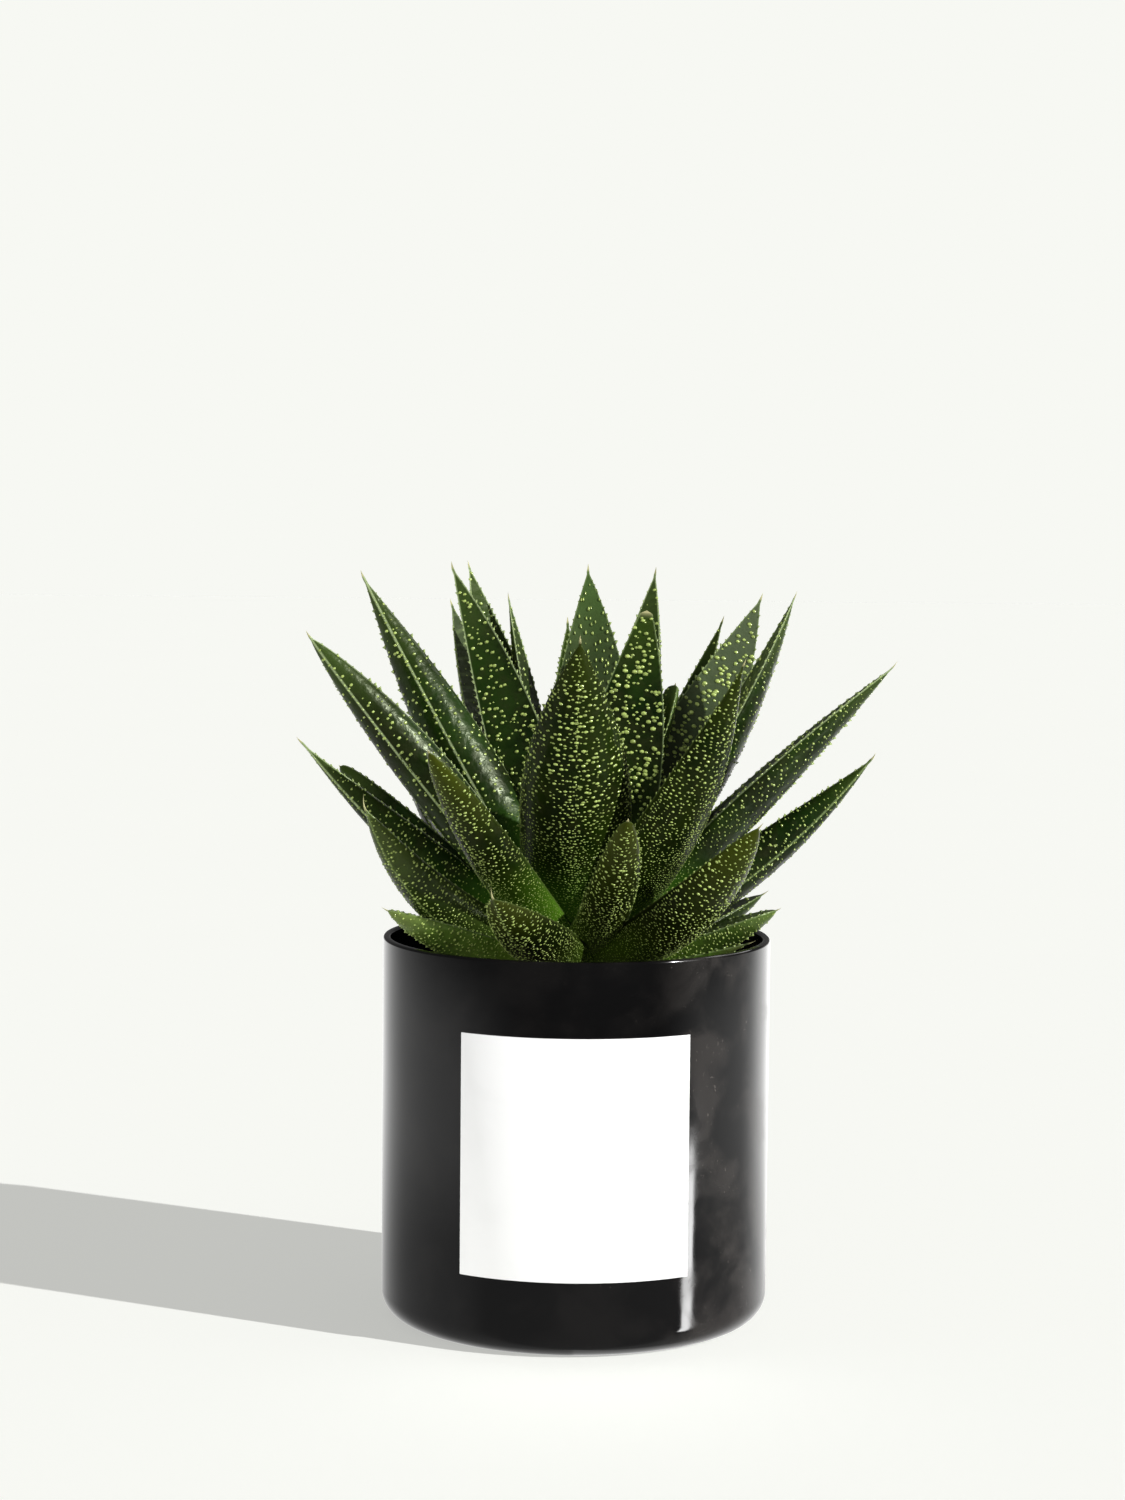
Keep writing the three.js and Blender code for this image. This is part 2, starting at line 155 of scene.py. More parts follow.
def all_at(height: float, radius: float | None = None) -> Callable[[list[Vector]], bool]:
    """Makes a test for corners that all lie at one height.

    Args:
        height: The height.
        radius: The distance from the middle that they share too, if it matters.

    Returns:
        The test, which takes the corners' places.
    """

    def test(corners: list[Vector]) -> bool:
        """Tells whether every corner lies there."""
        level = all(abs(c.z - height) < NEAR for c in corners)
        return level and (radius is None or all(abs(math.hypot(c.x, c.y) - radius) < NEAR for c in corners))

    return test


def apply_modifier(piece: bpy.types.Object, kind: str, **settings: object) -> None:
    """Adds a modifier to a piece and applies it.

    Args:
        piece: The piece.
        kind: The modifier's type.
        settings: Its options.
    """
    pick(piece)
    modifier = piece.modifiers.new(kind.lower(), kind)
    for key, value in settings.items():
        setattr(modifier, key, value)
    bpy.ops.object.modifier_apply(modifier=modifier.name)


def sink(depth: float) -> None:
    """Extrudes the selected faces straight down, in edit mode."""
    bpy.ops.mesh.extrude_region_move(TRANSFORM_OT_translate={"value": (0, 0, -depth)})


def place_in_mesh(piece: bpy.types.Object) -> None:
    """Moves a piece's place, turn and size into its mesh."""
    pick(piece)
    bpy.ops.object.transform_apply(location=True, rotation=True, scale=True)


def smooth_piece(piece: bpy.types.Object, angle: float = 35.0) -> None:
    """Shades a piece smooth, apart from edges sharper than an angle in degrees."""
    pick(piece)
    bpy.ops.object.shade_smooth_by_angle(angle=math.radians(angle))


def carry(mesh: bpy.types.Mesh, key: str, values: np.ndarray) -> None:
    """Writes one value for each corner into a mesh."""
    attribute = mesh.attributes.new(key, "FLOAT", "POINT")
    attribute.data.foreach_set("value", values.astype(np.float32))


def fit(piece: bpy.types.Object, finish: "Finish", effects: "Effects", *nodes: str) -> None:
    """Dresses a finished piece and fixes it to the plant's body.

    Args:
        piece: The finished piece, with its place in its mesh.
        finish: Its finish, which names the record's material slot.
        effects: The shared effects.
        nodes: The model's nodes that it stands for.
    """
    piece.data.materials.clear()
    piece.data.materials.append(finish.material(effects))
    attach(piece, BODY)
    if nodes:
        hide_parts(*nodes)
    piece.data.calc_loop_triangles()
    log.info("%s: %d triangles, slot %s", piece.name, len(piece.data.loop_triangles), finish.slot)


# ---------------------------------------------------------------------------------------------
# Finishes
# ---------------------------------------------------------------------------------------------


class Nodes:
    """A node tree that is written one line a node."""

    def __init__(self, tree: bpy.types.NodeTree) -> None:
        """Takes the tree and empties it."""
        self.tree = tree
        tree.nodes.clear()

    def add(self, kind: str, **settings: object) -> bpy.types.Node:
        """Adds a node.

        Args:
            kind: The node's type.
            settings: Its options.

        Returns:
            The node.
        """
        node = self.tree.nodes.new(kind)
        for key, value in settings.items():
            setattr(node, key, value)
        return node

    def put(self, socket: Socket, value: Feed) -> None:
        """Feeds a socket.

        Args:
            socket: A node's input.
            value: Another node's output, or a plain value.
        """
        if isinstance(value, Socket):
            self.tree.links.new(value, socket)
        elif isinstance(value, tuple) and len(value) == 3 and socket.type == "RGBA":
            socket.default_value = (*value, 1.0)
        else:
            socket.default_value = value

    def fill(self, node: bpy.types.Node, *values: Feed) -> Socket:
        """Feeds a node's inputs in order.

        Args:
            node: The node.
            values: What its first inputs take.

        Returns:
            The node's first output.
        """
        for socket, value in zip(node.inputs, values):
            self.put(socket, value)
        return node.outputs[0]

    def math(self, operation: str, *values: Feed) -> Socket:
        """Adds a Math node over values."""
        return self.fill(self.add("ShaderNodeMath", operation=operation), *values)

    def step(self, value: Feed, low: Feed, high: Feed, start: Feed = 0.0, end: Feed = 1.0) -> Socket:
        """Eases from start to end while a value goes from low to high."""
        node = self.add("ShaderNodeMapRange", interpolation_type="SMOOTHSTEP")
        return self.fill(node, value, low, high, start, end)

    def blend(self, share: Feed, first: Feed, second: Feed) -> Socket:
        """Mixes two colours.

        Args:
            share: The second colour's share.
            first: The colour at a share of 0.
            second: The colour at a share of 1.

        Returns:
            The mixed colour.
        """
        node = self.add("ShaderNodeMix", data_type="RGBA")
        for index, value in ((0, share), (6, first), (7, second)):
            self.put(node.inputs[index], value)
        return node.outputs[2]

    def noise(self, place: Socket, scale: Feed, detail: float, warp: float = 0.0) -> Socket:
        """Adds fractal noise.

        Args:
            place: Where the noise is read.
            scale: How fine it is.
            detail: How many finer layers it has.
            warp: How far it is bent out of shape.

        Returns:
            The noise's level.
        """
        node = self.add("ShaderNodeTexNoise")
        for key, value in (("Vector", place), ("Scale", scale), ("Detail", detail), ("Distortion", warp)):
            self.put(node.inputs[key], value)
        return node.outputs[0]

    def place(self) -> Socket:
        """Reads the place on the object."""
        return self.add("ShaderNodeTexCoord").outputs["Object"]

    def attribute(self, name: str) -> Socket:
        """Reads a value that the mesh carries."""
        return self.add("ShaderNodeAttribute", attribute_name=name).outputs["Fac"]

    def group(self, tree: bpy.types.NodeTree, **values: Feed) -> Socket:
        """Places a shared effect.

        Args:
            tree: The effect.
            values: What its inputs take, under their names in small letters.

        Returns:
            The effect's output.
        """
        node = self.add("ShaderNodeGroup", node_tree=tree)
        for key, value in values.items():
            self.put(node.inputs[key.capitalize()], value)
        return node.outputs[0]


@dataclass(frozen=True)
class Mottle:
    """Soft-edged patches: how fine they are, and the noise levels between which they fade in."""

    scale: float
    low: float
    high: float


@dataclass(frozen=True)
class Relief:
    """A fine height: how fine its swells and its grain are, the grain's share, and the bump's depth."""

    coarse: float
    fine: float
    grain: float
    strength: float
    depth: float


class Effects:
    """The effects that more than one finish uses, each built once as a node group."""

    def __init__(self) -> None:
        """Builds the mottle and the relief."""
        self.mottle = self.make_mottle()
        self.relief = self.make_relief()

    @staticmethod
    def start(name: str, inputs: Iterable[str], output: str) -> tuple[Nodes, bpy.types.Node, Socket]:
        """Starts a shared effect with one output.

        Args:
            name: The effect's name.
            inputs: The names of its inputs, which are all floats.
            output: The name of its output, a float too.

        Returns:
            The group's nodes, its input node and the socket that takes its output.
        """
        tree = bpy.data.node_groups.new(name, "ShaderNodeTree")
        for key in inputs:
            tree.interface.new_socket(name=key, in_out="INPUT", socket_type="NodeSocketFloat")
        tree.interface.new_socket(name=output, in_out="OUTPUT", socket_type="NodeSocketFloat")
        nodes = Nodes(tree)
        return nodes, nodes.add("NodeGroupInput"), nodes.add("NodeGroupOutput").inputs[output]

    @classmethod
    def make_mottle(cls) -> bpy.types.NodeTree:
        """Makes soft-edged patches: a mask from noise between two levels.

        Returns:
            The node group.
        """
        nodes, given, mask = cls.start("mottle", ("Scale", "Low", "High"), "Mask")
        cloud = nodes.noise(nodes.place(), given.outputs["Scale"], detail=4.0, warp=0.4)
        nodes.put(mask, nodes.step(cloud, given.outputs["Low"], given.outputs["High"]))
        return nodes.tree

    @classmethod
    def make_relief(cls) -> bpy.types.NodeTree:
        """Makes a surface's fine height: coarse swells with a share of fine grain.

        Returns:
            The node group.
        """
        nodes, given, height = cls.start("relief", ("Coarse", "Fine", "Grain"), "Height")
        place = nodes.place()
        swell = nodes.noise(place, given.outputs["Coarse"], detail=2.0)
        grain = nodes.noise(place, given.outputs["Fine"], detail=2.0)
        nodes.put(height, nodes.math("MULTIPLY_ADD", grain, given.outputs["Grain"], swell))
        return nodes.tree


class Paint:
    """One material's nodes, with its Principled shader and the shared effects at hand."""

    def __init__(self, material: bpy.types.Material, effects: Effects) -> None:
        """Gives the material a bare shader.

        Args:
            material: The material, whose nodes are replaced.
            effects: The shared effects.
        """
        material.use_nodes = True
        self.nodes = Nodes(material.node_tree)
        self.effects = effects
        self.shader = self.nodes.add("ShaderNodeBsdfPrincipled")
        output = self.nodes.add("ShaderNodeOutputMaterial")
        self.nodes.put(output.inputs["Surface"], self.shader.outputs[0])

    def feed(self, key: str, value: Feed) -> None:
        """Feeds the shader's input of a name."""
        self.nodes.put(self.shader.inputs[key], value)

    def mottle(self, mottle: Mottle) -> Socket:
        """Lays patches over the object."""
        return self.nodes.group(self.effects.mottle, **vars(mottle))

    def vary(self, mask: Socket, share: float, start: Feed) -> Socket:
        """Raises a value by a share where a mask is set."""
        return self.nodes.math("MULTIPLY_ADD", mask, share, start)

    def wave(self, value: Socket, pitch: float, mask: Socket, drift: float) -> Socket:
        """Waves with a value, in stripes that drift where a mask is set."""
        phase = self.vary(value, pitch, self.nodes.math("MULTIPLY", mask, drift))
        return self.nodes.math("SINE", phase)

    def bump(self, relief: Relief, ripple: Socket | None = None) -> None:
        """Feeds the shader's normal.

        Args:
            relief: The surface's fine height.
            ripple: A height that is added to it, if any.
        """
        heights = self.effects.relief
        height = self.nodes.group(heights, coarse=relief.coarse, fine=relief.fine, grain=relief.grain)
        if ripple is not None:
            height = self.nodes.math("ADD", ripple, height)
        node = self.nodes.add("ShaderNodeBump")
        for key, value in (("Strength", relief.strength), ("Distance", relief.depth), ("Height", height)):
            self.nodes.put(node.inputs[key], value)
        self.feed("Normal", node.outputs[0])


class Finish:
    """What every finish shares: one material, made once, and the record's slot for it."""

    name: str
    slot: str

    def material(self, effects: Effects) -> bpy.types.Material:
        """Makes the material, or gives the one that was made before.

        Args:
            effects: The shared effects.

        Returns:
            The material.
        """
        made = bpy.data.materials.get(self.name)
        if made is None:
            made = bpy.data.materials.new(self.name)
            self.paint(Paint(made, effects))
        return made

    def paint(self, paint: Paint) -> None:
        """Feeds the shader. Each finish writes its own."""
        raise NotImplementedError


@dataclass(frozen=True)
class LeafFinish(Finish):
    """A leaf's thick glossy skin, with pale warts, and pale margins and keel whose line is partly a painted
    highlight.

    The spans named from and reach are shares of the leaf's length, and the margin's are millimetres.
    """

    name: str
    slot: str
    deep: Colour
    bright: Colour
    young: Colour
    old: Colour
    flush: Colour = (0.019, 0.020, 0.005)
    # The margins' and keel's colour: their real pale rim, brightened to paint the highlight line that runs
    # along them.
    margin: Colour = (0.17, 0.23, 0.09)
    wart: Colour = (0.46, 0.585, 0.155)
    fleck: Colour = (0.24, 0.36, 0.07)
    dry: Colour = (0.42, 0.40, 0.20)
    sheen: Colour = (0.85, 0.95, 0.65)
    patches: Mottle = Mottle(70.0, 0.36, 0.66)
    flecks: Mottle = Mottle(420.0, 0.42, 0.7)
    clouds: Mottle = Mottle(28.0, 0.42, 0.62)
    flush_share: float = 0.3
    fleck_share: float = 0.35
    young_from: float = 0.12
    young_reach: float = 0.42
    young_share: float = 0.85
    old_from: float = 0.72
    old_share: float = 0.6
    margin_from: float = 0.05
    margin_reach: float = 0.45
    margin_share: float = 0.75
    warts_pale: tuple[float, float] = (0.2, 0.5)
    bands: float = 0.0
    band_pitch: float = 150.0
    band_drift: float = 2.5
    roughness: float = 0.3
    fleck_dullness: float = 0.12
    dry_dullness: float = 0.3
    wart_dullness: float = -0.1
    index: float = 1.4
    gloss: float = 0.45
    wart_coat: float = 0.9
    coat_roughness: float = 0.2
    coat_index: float = 1.75
    relief: Relief = Relief(520.0, 2400.0, 0.06, strength=0.7, depth=0.3 * MM)
    ripple: float = 0.03
    ripple_pitch: float = 160.0
    ripple_drift: float = 6.0

    def paint(self, paint: Paint) -> None:
        """Lays the skin's colours, its gloss and its relief.

        Args:
            paint: The material's nodes.
        """
        nodes = paint.nodes
        along, wart, dry = (nodes.attribute(key) for key in ("along", "wart", "dry"))
        patches, flecks = paint.mottle(self.patches), paint.mottle(self.flecks)
        skin = self.skin(paint, along, patches, flecks)
        warted = nodes.blend(nodes.step(along, *self.warts_pale), self.fleck, self.wart)
        skin = nodes.blend(wart, skin, warted)
        paint.feed("Base Color", nodes.blend(dry, skin, self.dry))
        dull = paint.vary(flecks, self.fleck_dullness, self.roughness)
        dull = paint.vary(dry, self.dry_dullness, dull)
        paint.feed("Roughness", paint.vary(wart, self.wart_dullness, dull))
        paint.feed("IOR", self.index)
        paint.feed("Specular IOR Level", self.gloss)
        paint.feed("Specular Tint", self.sheen)
        paint.feed("Coat Weight", nodes.math("MULTIPLY", wart, self.wart_coat))
        paint.feed("Coat Roughness", self.coat_roughness)
        paint.feed("Coat IOR", self.coat_index)
        ripple = paint.wave(along, self.ripple_pitch, patches, self.ripple_drift)
        paint.bump(self.relief, nodes.math("MULTIPLY", ripple, self.ripple))

    def skin(self, paint: Paint, along: Socket, patches: Socket, flecks: Socket) -> Socket:
        """Lays the skin's colours from the root to the tip, with its bands, and its margins and keel, whose
        pale line is partly a painted highlight.

        Args:
            paint: The material's nodes.
            along: The share of the leaf's length.
            patches: The mask of the brighter patches.
            flecks: The mask of the fine flecks.

        Returns:
            The skin's colour without warts.
        """
        nodes = paint.nodes
        skin = nodes.blend(patches, self.deep, self.bright)
        clouds = nodes.math("MULTIPLY", paint.mottle(self.clouds), self.flush_share)
        skin = nodes.blend(clouds, skin, self.flush)
        skin = nodes.blend(nodes.math("MULTIPLY", flecks, self.fleck_share), skin, self.flush)
        young = nodes.step(along, self.young_from, self.young_reach, self.young_share, 0.0)
        skin = nodes.blend(young, skin, self.young)
        skin = nodes.blend(nodes.step(along, self.old_from, 1.0, 0.0, self.old_share), skin, self.old)
        if self.bands:
            wave = paint.wave(along, self.band_pitch, patches, self.band_drift)
            skin = nodes.blend(nodes.step(wave, 0.5, 1.0, 0.0, self.bands), skin, self.margin)
        # The margins and keel are lightened, partly for their real pale rim and partly as a painted
        # highlight along them.
        ridge = nodes.attribute("ridge")
        edge = nodes.step(ridge, self.margin_from, self.margin_reach, self.margin_share, 0.0)
        return nodes.blend(edge, skin, self.margin)


@dataclass(frozen=True)
class StemFinish(Finish):
    """The short stem's dull skin, ringed by old leaf scars."""

    name: str = "stem_skin"
    slot: str = "stem"
    skin: Colour = (0.085, 0.155, 0.014)
    scar: Colour = (0.05, 0.09, 0.012)
    patches: Mottle = Mottle(240.0, 0.35, 0.65)
    ring_pitch: float = 1800.0
    ring_drift: float = 3.0
    rings: tuple[float, float] = (0.2, 0.9)
    roughness: float = 0.6
    patch_dullness: float = 0.2
    relief: Relief = Relief(500.0, 3000.0, 0.5, strength=0.5, depth=0.3 * MM)

    def paint(self, paint: Paint) -> None:
        """Mottles the skin and rings it with scars.

        Args:
            paint: The material's nodes.
        """
        nodes = paint.nodes
        patches = paint.mottle(self.patches)
        place = nodes.add("ShaderNodeSeparateXYZ")
        nodes.put(place.inputs[0], nodes.place())
        wave = paint.wave(place.outputs["Z"], self.ring_pitch, patches, self.ring_drift)
        paint.feed("Base Color", nodes.blend(nodes.step(wave, *self.rings), self.skin, self.scar))
        paint.feed("Roughness", paint.vary(patches, self.patch_dullness, self.roughness))
        paint.bump(self.relief)


@dataclass(frozen=True)
class PotFinish(Finish):
    """Glossy black moulded plastic with handling smudges and a little dust."""

    name: str = "pot_gloss"
    slot: str = "pot"
    black: Colour = (0.0022, 0.0021, 0.0022)
    smudge: Colour = (0.022, 0.0195, 0.018)
    dust: Colour = (0.09, 0.08, 0.072)
    smudges: Mottle = Mottle(75.0, 0.42, 0.66)
    specks: Mottle = Mottle(900.0, 0.66, 0.74)
    handled_from: float = 17 * MM
    handled_reach: float = 29 * MM
    elsewhere: float = 0.15
    roughness: float = 0.08
    smudge_dullness: float = 0.14
    index: float = 1.45
    relief: Relief = Relief(160.0, 2600.0, 0.06, strength=0.06, depth=0.2 * MM)

    def paint(self, paint: Paint) -> None:
        """Lays the smudges, mostly on the right, and the dust on them over the black.

        Args:
            paint: The material's nodes.
        """
        nodes = paint.nodes
        side = nodes.add("ShaderNodeSeparateXYZ")
        nodes.put(side.inputs[0], nodes.place())
        handled = nodes.step(side.outputs["X"], self.handled_from, self.handled_reach, self.elsewhere, 1.0)
        smudges = nodes.math("MULTIPLY", paint.mottle(self.smudges), handled)
        dusty = nodes.math("MULTIPLY", paint.mottle(self.specks), smudges)
        colour = nodes.blend(smudges, self.black, self.smudge)
        paint.feed("Base Color", nodes.blend(dusty, colour, self.dust))
        paint.feed("Roughness", paint.vary(smudges, self.smudge_dullness, self.roughness))
        paint.feed("IOR", self.index)
        paint.bump(self.relief)


@dataclass(frozen=True)
class LabelFinish(Finish):
    """Bare white coated paper."""

    name: str = "label_paper"
    slot: str = "label"
    white: Colour = (0.9, 0.9, 0.895)
    worn: Colour = (0.88, 0.88, 0.875)
    patches: Mottle = Mottle(90.0, 0.45, 0.75)
    roughness: float = 0.5
    patch_dullness: float = 0.08
    relief: Relief = Relief(1500.0, 6000.0, 0.6, strength=0.15, depth=0.04 * MM)

    def paint(self, paint: Paint) -> None:
        """Tints the paper a little unevenly and gives it a faint fibre.

        Args:
            paint: The material's nodes.
        """
        patches = paint.mottle(self.patches)
        paint.feed("Base Color", paint.nodes.blend(patches, self.white, self.worn))
        paint.feed("Roughness", paint.vary(patches, self.patch_dullness, self.roughness))
        paint.bump(self.relief)


@dataclass(frozen=True)
class SoilFinish(Finish):
    """Dark gritty potting mix."""

    name: str = "soil_mix"
    slot: str = "soil"
    peat: Colour = (0.022, 0.014, 0.009)
    crumb: Colour = (0.075, 0.05, 0.032)
    pumice: Colour = (0.3, 0.27, 0.22)
    crumbs: Mottle = Mottle(520.0, 0.4, 0.64)
    dust: Mottle = Mottle(130.0, 0.4, 0.66)
    clean: float = 0.6
    dust_share: float = 0.4
    roughness: float = 0.8
    crumb_dullness: float = 0.15
    relief: Relief = Relief(900.0, 4000.0, 0.7, strength=0.8, depth=0.6 * MM)

    def paint(self, paint: Paint) -> None:
        """Mixes peat and crumbs, and pales the grains that are pumice.

        Args:
            paint: The material's nodes.
        """
        nodes = paint.nodes
        crumbs = paint.mottle(self.crumbs)
        pale = paint.vary(paint.mottle(self.dust), self.dust_share, self.clean)
        stone = nodes.math("MULTIPLY", nodes.attribute("stone"), pale)
        colour = nodes.blend(crumbs, self.peat, self.crumb)
        paint.feed("Base Color", nodes.blend(stone, colour, self.pumice))
        paint.feed("Roughness", paint.vary(crumbs, self.crumb_dullness, self.roughness))
        paint.bump(self.relief)


@dataclass(frozen=True)
class FloorFinish(Finish):
    """The pale matt table under the pot, which glows a little to stay even."""

    name: str = "floor_paper"
    pale: Colour = (0.65, 0.656, 0.626)
    faint: Colour = (0.64675, 0.65272, 0.62287)
    glow: Colour = (1.0, 1.01, 0.965)
    glow_strength: float = 0.482
    patches: Mottle = Mottle(6.0, 0.3, 0.7)

    def paint(self, paint: Paint) -> None:
        """Leaves the sheet plain, with only a trace of mottle.

        Args:
            paint: The material's nodes.
        """
        patches = paint.mottle(self.patches)
        paint.feed("Base Color", paint.nodes.blend(patches, self.pale, self.faint))
        paint.feed("Roughness", 1.0)
        paint.feed("Specular IOR Level", 0.0)
        paint.feed("Emission Color", self.glow)
        paint.feed("Emission Strength", self.glow_strength)


# ---------------------------------------------------------------------------------------------
# The pot, its label and its soil
# ---------------------------------------------------------------------------------------------


@dataclass
class Pot:
    """One thin-walled straight pot with a rounded foot, in metres."""

    radius: float
    height: float
    wall: float = 1.8 * MM
    floor: float = 4 * MM
    foot: float = 6 * MM
    lip: float = 0.6 * MM
    sides: int = 192
    foot_steps: int = 10
    inner_foot_steps: int = 8
    lip_steps: int = 4
    crease: float = 30.0

    @classmethod
    def from_model(cls) -> "Pot":
        """Takes the radius and height from the model's pot."""
        _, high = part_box("pot")
        return cls(radius=high[0], height=high[2])

    def build(self) -> bpy.types.Object:
        """Hollows a straight drum from above and rounds its lip and foot.

        Returns:
            The finished pot.
        """
        piece = start_piece(
            "pot_body",
            bpy.ops.mesh.primitive_cylinder_add,
            vertices=self.sides,
            radius=self.radius,
            depth=self.height,
            location=(0, 0, self.height / 2),
        )
        place_in_mesh(piece)
        inner = self.radius - self.wall
        with Editing(piece) as edit:
            edit.select(Part.FACE, all_at(self.height))
            bpy.ops.mesh.inset(thickness=self.wall)
            sink(self.height - self.floor)
            rims = (
                (0.0, self.radius, self.foot, self.foot_steps),
                (self.floor, inner, self.foot - self.wall, self.inner_foot_steps),
                (self.height, self.radius, self.lip, self.lip_steps),
                (self.height, inner, self.lip, self.lip_steps),
            )
            for level, reach, size, steps in rims:
                edit.select(Part.EDGE, all_at(level, reach))
                bpy.ops.mesh.bevel(offset=size, segments=steps, affect="EDGES")
        smooth_piece(piece, self.crease)
        return piece

    def dress(self, piece: bpy.types.Object, effects: Effects) -> None:
        """Gives the pot its gloss and puts it in the model pot's place."""
        fit(piece, PotFinish(), effects, "pot")


@dataclass
class Label:
    """A bare paper sheet wrapped on the front of the pot."""

    pot: Pot
    half_angle: float = 33.75
    gap: float = 0.35 * MM
    thickness: float = 0.3 * MM
    edge: float = 0.06 * MM
    edge_steps: int = 2
    edge_angle: float = 50.0
    crease: float = 40.0
    columns: int = 320

    def build(self) -> bpy.types.Object:
        """Cuts the sheet from a thin round sleeve and thickens it.

        Returns:
            The finished label.
        """
        low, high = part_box("label")
        piece = start_piece(
            "label_sheet",
            bpy.ops.mesh.primitive_cylinder_add,
            vertices=self.columns,
            radius=self.pot.radius + self.gap,
            depth=high[2] - low[2],
            end_fill_type="NOTHING",
            location=(0, 0, (low[2] + high[2]) / 2),
        )
        place_in_mesh(piece)

        def behind(corners: list[Vector]) -> bool:
            """Tells whether a face lies outside the sheet's own arc."""
            middle = sum(corners, Vector()) / len(corners)
            return abs(math.degrees(math.atan2(middle.x, -middle.y))) > self.half_angle

        with Editing(piece) as edit:
            edit.select(Part.FACE, behind)
            bpy.ops.mesh.delete(type="FACE")
        apply_modifier(piece, "SOLIDIFY", thickness=self.thickness, offset=1)
        bend = math.radians(self.edge_angle)
        apply_modifier(piece, "BEVEL", width=self.edge, segments=self.edge_steps, angle_limit=bend)
        smooth_piece(piece, self.crease)
        return piece

    def dress(self, piece: bpy.types.Object, effects: Effects) -> None:
        """Gives the label its paper and puts it in the model label's place."""
        fit(piece, LabelFinish(), effects, "label")


@dataclass
class Soil:
    """The gritty mix: a low mound with the stem's hole, and loose grains on it.

    The grains' spans are drawn from evenly, and their sizes are raised to a power, so that most
    are small.
    """

    pot: Pot
    top: float = 73 * MM
    crown: float = 2.2 * MM
    lumps: float = 0.45 * MM
    lump_level: float = 0.3
    lump_fineness: float = 260.0
    lump_layers: tuple[float, float, int] = (0.9, 2.1, 4)
    clearance: float = 0.3 * MM
    hole: float = 9.4 * MM
    hole_floor: float = 44 * MM
    rings: int = 22
    sides: int = 96
    foot_steps: int = 6
    crease: float = 50.0
    grains: int = 1100
    grain_margin: float = 1.2 * MM
    grain_size: float = 1.5 * MM
    grain_span: tuple[float, float] = (0.35, 1.0)
    grain_power: float = 1.5
    grain_bumps: tuple[float, float] = (0.7, 1.2)
    grain_flatness: float = 0.7
    grain_rise: float = 0.25
    grain_crease: float = 25.0
    pumice_share: float = 0.2
    seed: int = 5

    @property
    def outer(self) -> float:
        """The mix's radius inside the pot."""
        return self.pot.radius - self.pot.wall - self.clearance

    def surface(self, x: float, y: float) -> float:
        """Gives the mound's height.

        Args:
            x: The place to the right of the pot's middle.
            y: The place behind the pot's middle.

        Returns:
            The height over the place, with the mound's heap and lumps.
        """
        heap = self.crown * (1 - (math.hypot(x, y) / self.outer) ** 2)
        rough = noise.fractal(Vector((x, y, self.lump_level)) * self.lump_fineness, *self.lump_layers)
        return self.top + heap + self.lumps * rough

    def build(self) -> bpy.types.Object:
        """Rings the top of a plug of mix, sinks the stem's hole and heaps the top up.

        Returns:
            The finished bed.
        """
        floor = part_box("soil")[0][2]
        piece = start_piece(
            "soil_bed",
            bpy.ops.mesh.primitive_cylinder_add,
            vertices=self.sides,
            radius=self.outer,
            depth=self.top - floor,
            location=(0, 0, (self.top + floor) / 2),
        )
        place_in_mesh(piece)
        with Editing(piece) as edit:
            edit.select(Part.EDGE, all_at(floor, self.outer))
            round_off = self.pot.foot - self.pot.wall
            bpy.ops.mesh.bevel(offset=round_off, segments=self.foot_steps, affect="EDGES")
            edit.select(Part.FACE, all_at(self.top))
            for _ in range(self.rings):
                bpy.ops.mesh.inset(thickness=(self.outer - self.hole) / self.rings)
            sink(self.top - self.hole_floor)
        for corner in piece.data.vertices:
            if abs(corner.co.z - self.top) < NEAR:
                corner.co.z = self.surface(corner.co.x, corner.co.y)
        carry(piece.data, "stone", np.zeros(len(piece.data.vertices)))
        smooth_piece(piece, self.crease)
        return piece

    def scatter(self) -> bpy.types.Object:
        """Strews grains of a few sizes over the mound, some of them pumice.

        Returns:
            One piece that holds all the grains.
        """
        grain = start_piece("soil_grains", bpy.ops.mesh.primitive_ico_sphere_add, subdivisions=1, radius=1)
        shape = np.array([tuple(v.co) for v in grain.data.vertices])
        faces = np.array([tuple(p.vertices) for p in grain.data.polygons])
        random = np.random.default_rng(self.seed)
        corners, sides, stone = [], [], []
        for index in range(self.grains):
            reach = math.sqrt(random.uniform(self.hole**2, (self.outer - self.grain_margin) ** 2))
            turn = random.uniform(0, 2 * math.pi)
            x, y = reach * math.cos(turn), reach * math.sin(turn)
            size = random.uniform(*self.grain_span) ** self.grain_power * self.grain_size
            lumpy = shape * random.uniform(*self.grain_bumps, shape.shape)
            turned = lumpy @ np.array(Matrix.Rotation(random.uniform(0, 6), 3, random.normal(size=3)))
            middle = (x, y, self.surface(x, y) + size * self.grain_rise)
            corners.append(turned * size * (1, 1, self.grain_flatness) + middle)
            sides.append(faces + index * len(shape))
            stone.append(np.full(len(shape), float(random.uniform() < self.pumice_share)))
        grain.data.clear_geometry()
        grain.data.from_pydata(np.concatenate(corners).tolist(), [], np.concatenate(sides).tolist())
        carry(grain.data, "stone", np.concatenate(stone))
        smooth_piece(grain, self.grain_crease)
        return grain

    def dress(self, bed: bpy.types.Object, grains: bpy.types.Object, effects: Effects) -> None:
        """Gives the bed and its grains their mix, and puts the bed in the model soil's place."""
        fit(bed, SoilFinish(), effects, "soil")
        fit(grains, SoilFinish(), effects)


@dataclass
class Stem:
    """The short stem, which keeps the model's own shape."""

    node: str = "stem"

    def dress(self, effects: Effects) -> None:
        """Gives the stem's node its skin.

        Args:
            effects: The shared effects.
        """
        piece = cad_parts[self.node]
        piece.data.materials.clear()
        piece.data.materials.append(StemFinish().material(effects))
        log.info("%s: kept as modelled", self.node)


# ---------------------------------------------------------------------------------------------
# The leaves
# ---------------------------------------------------------------------------------------------


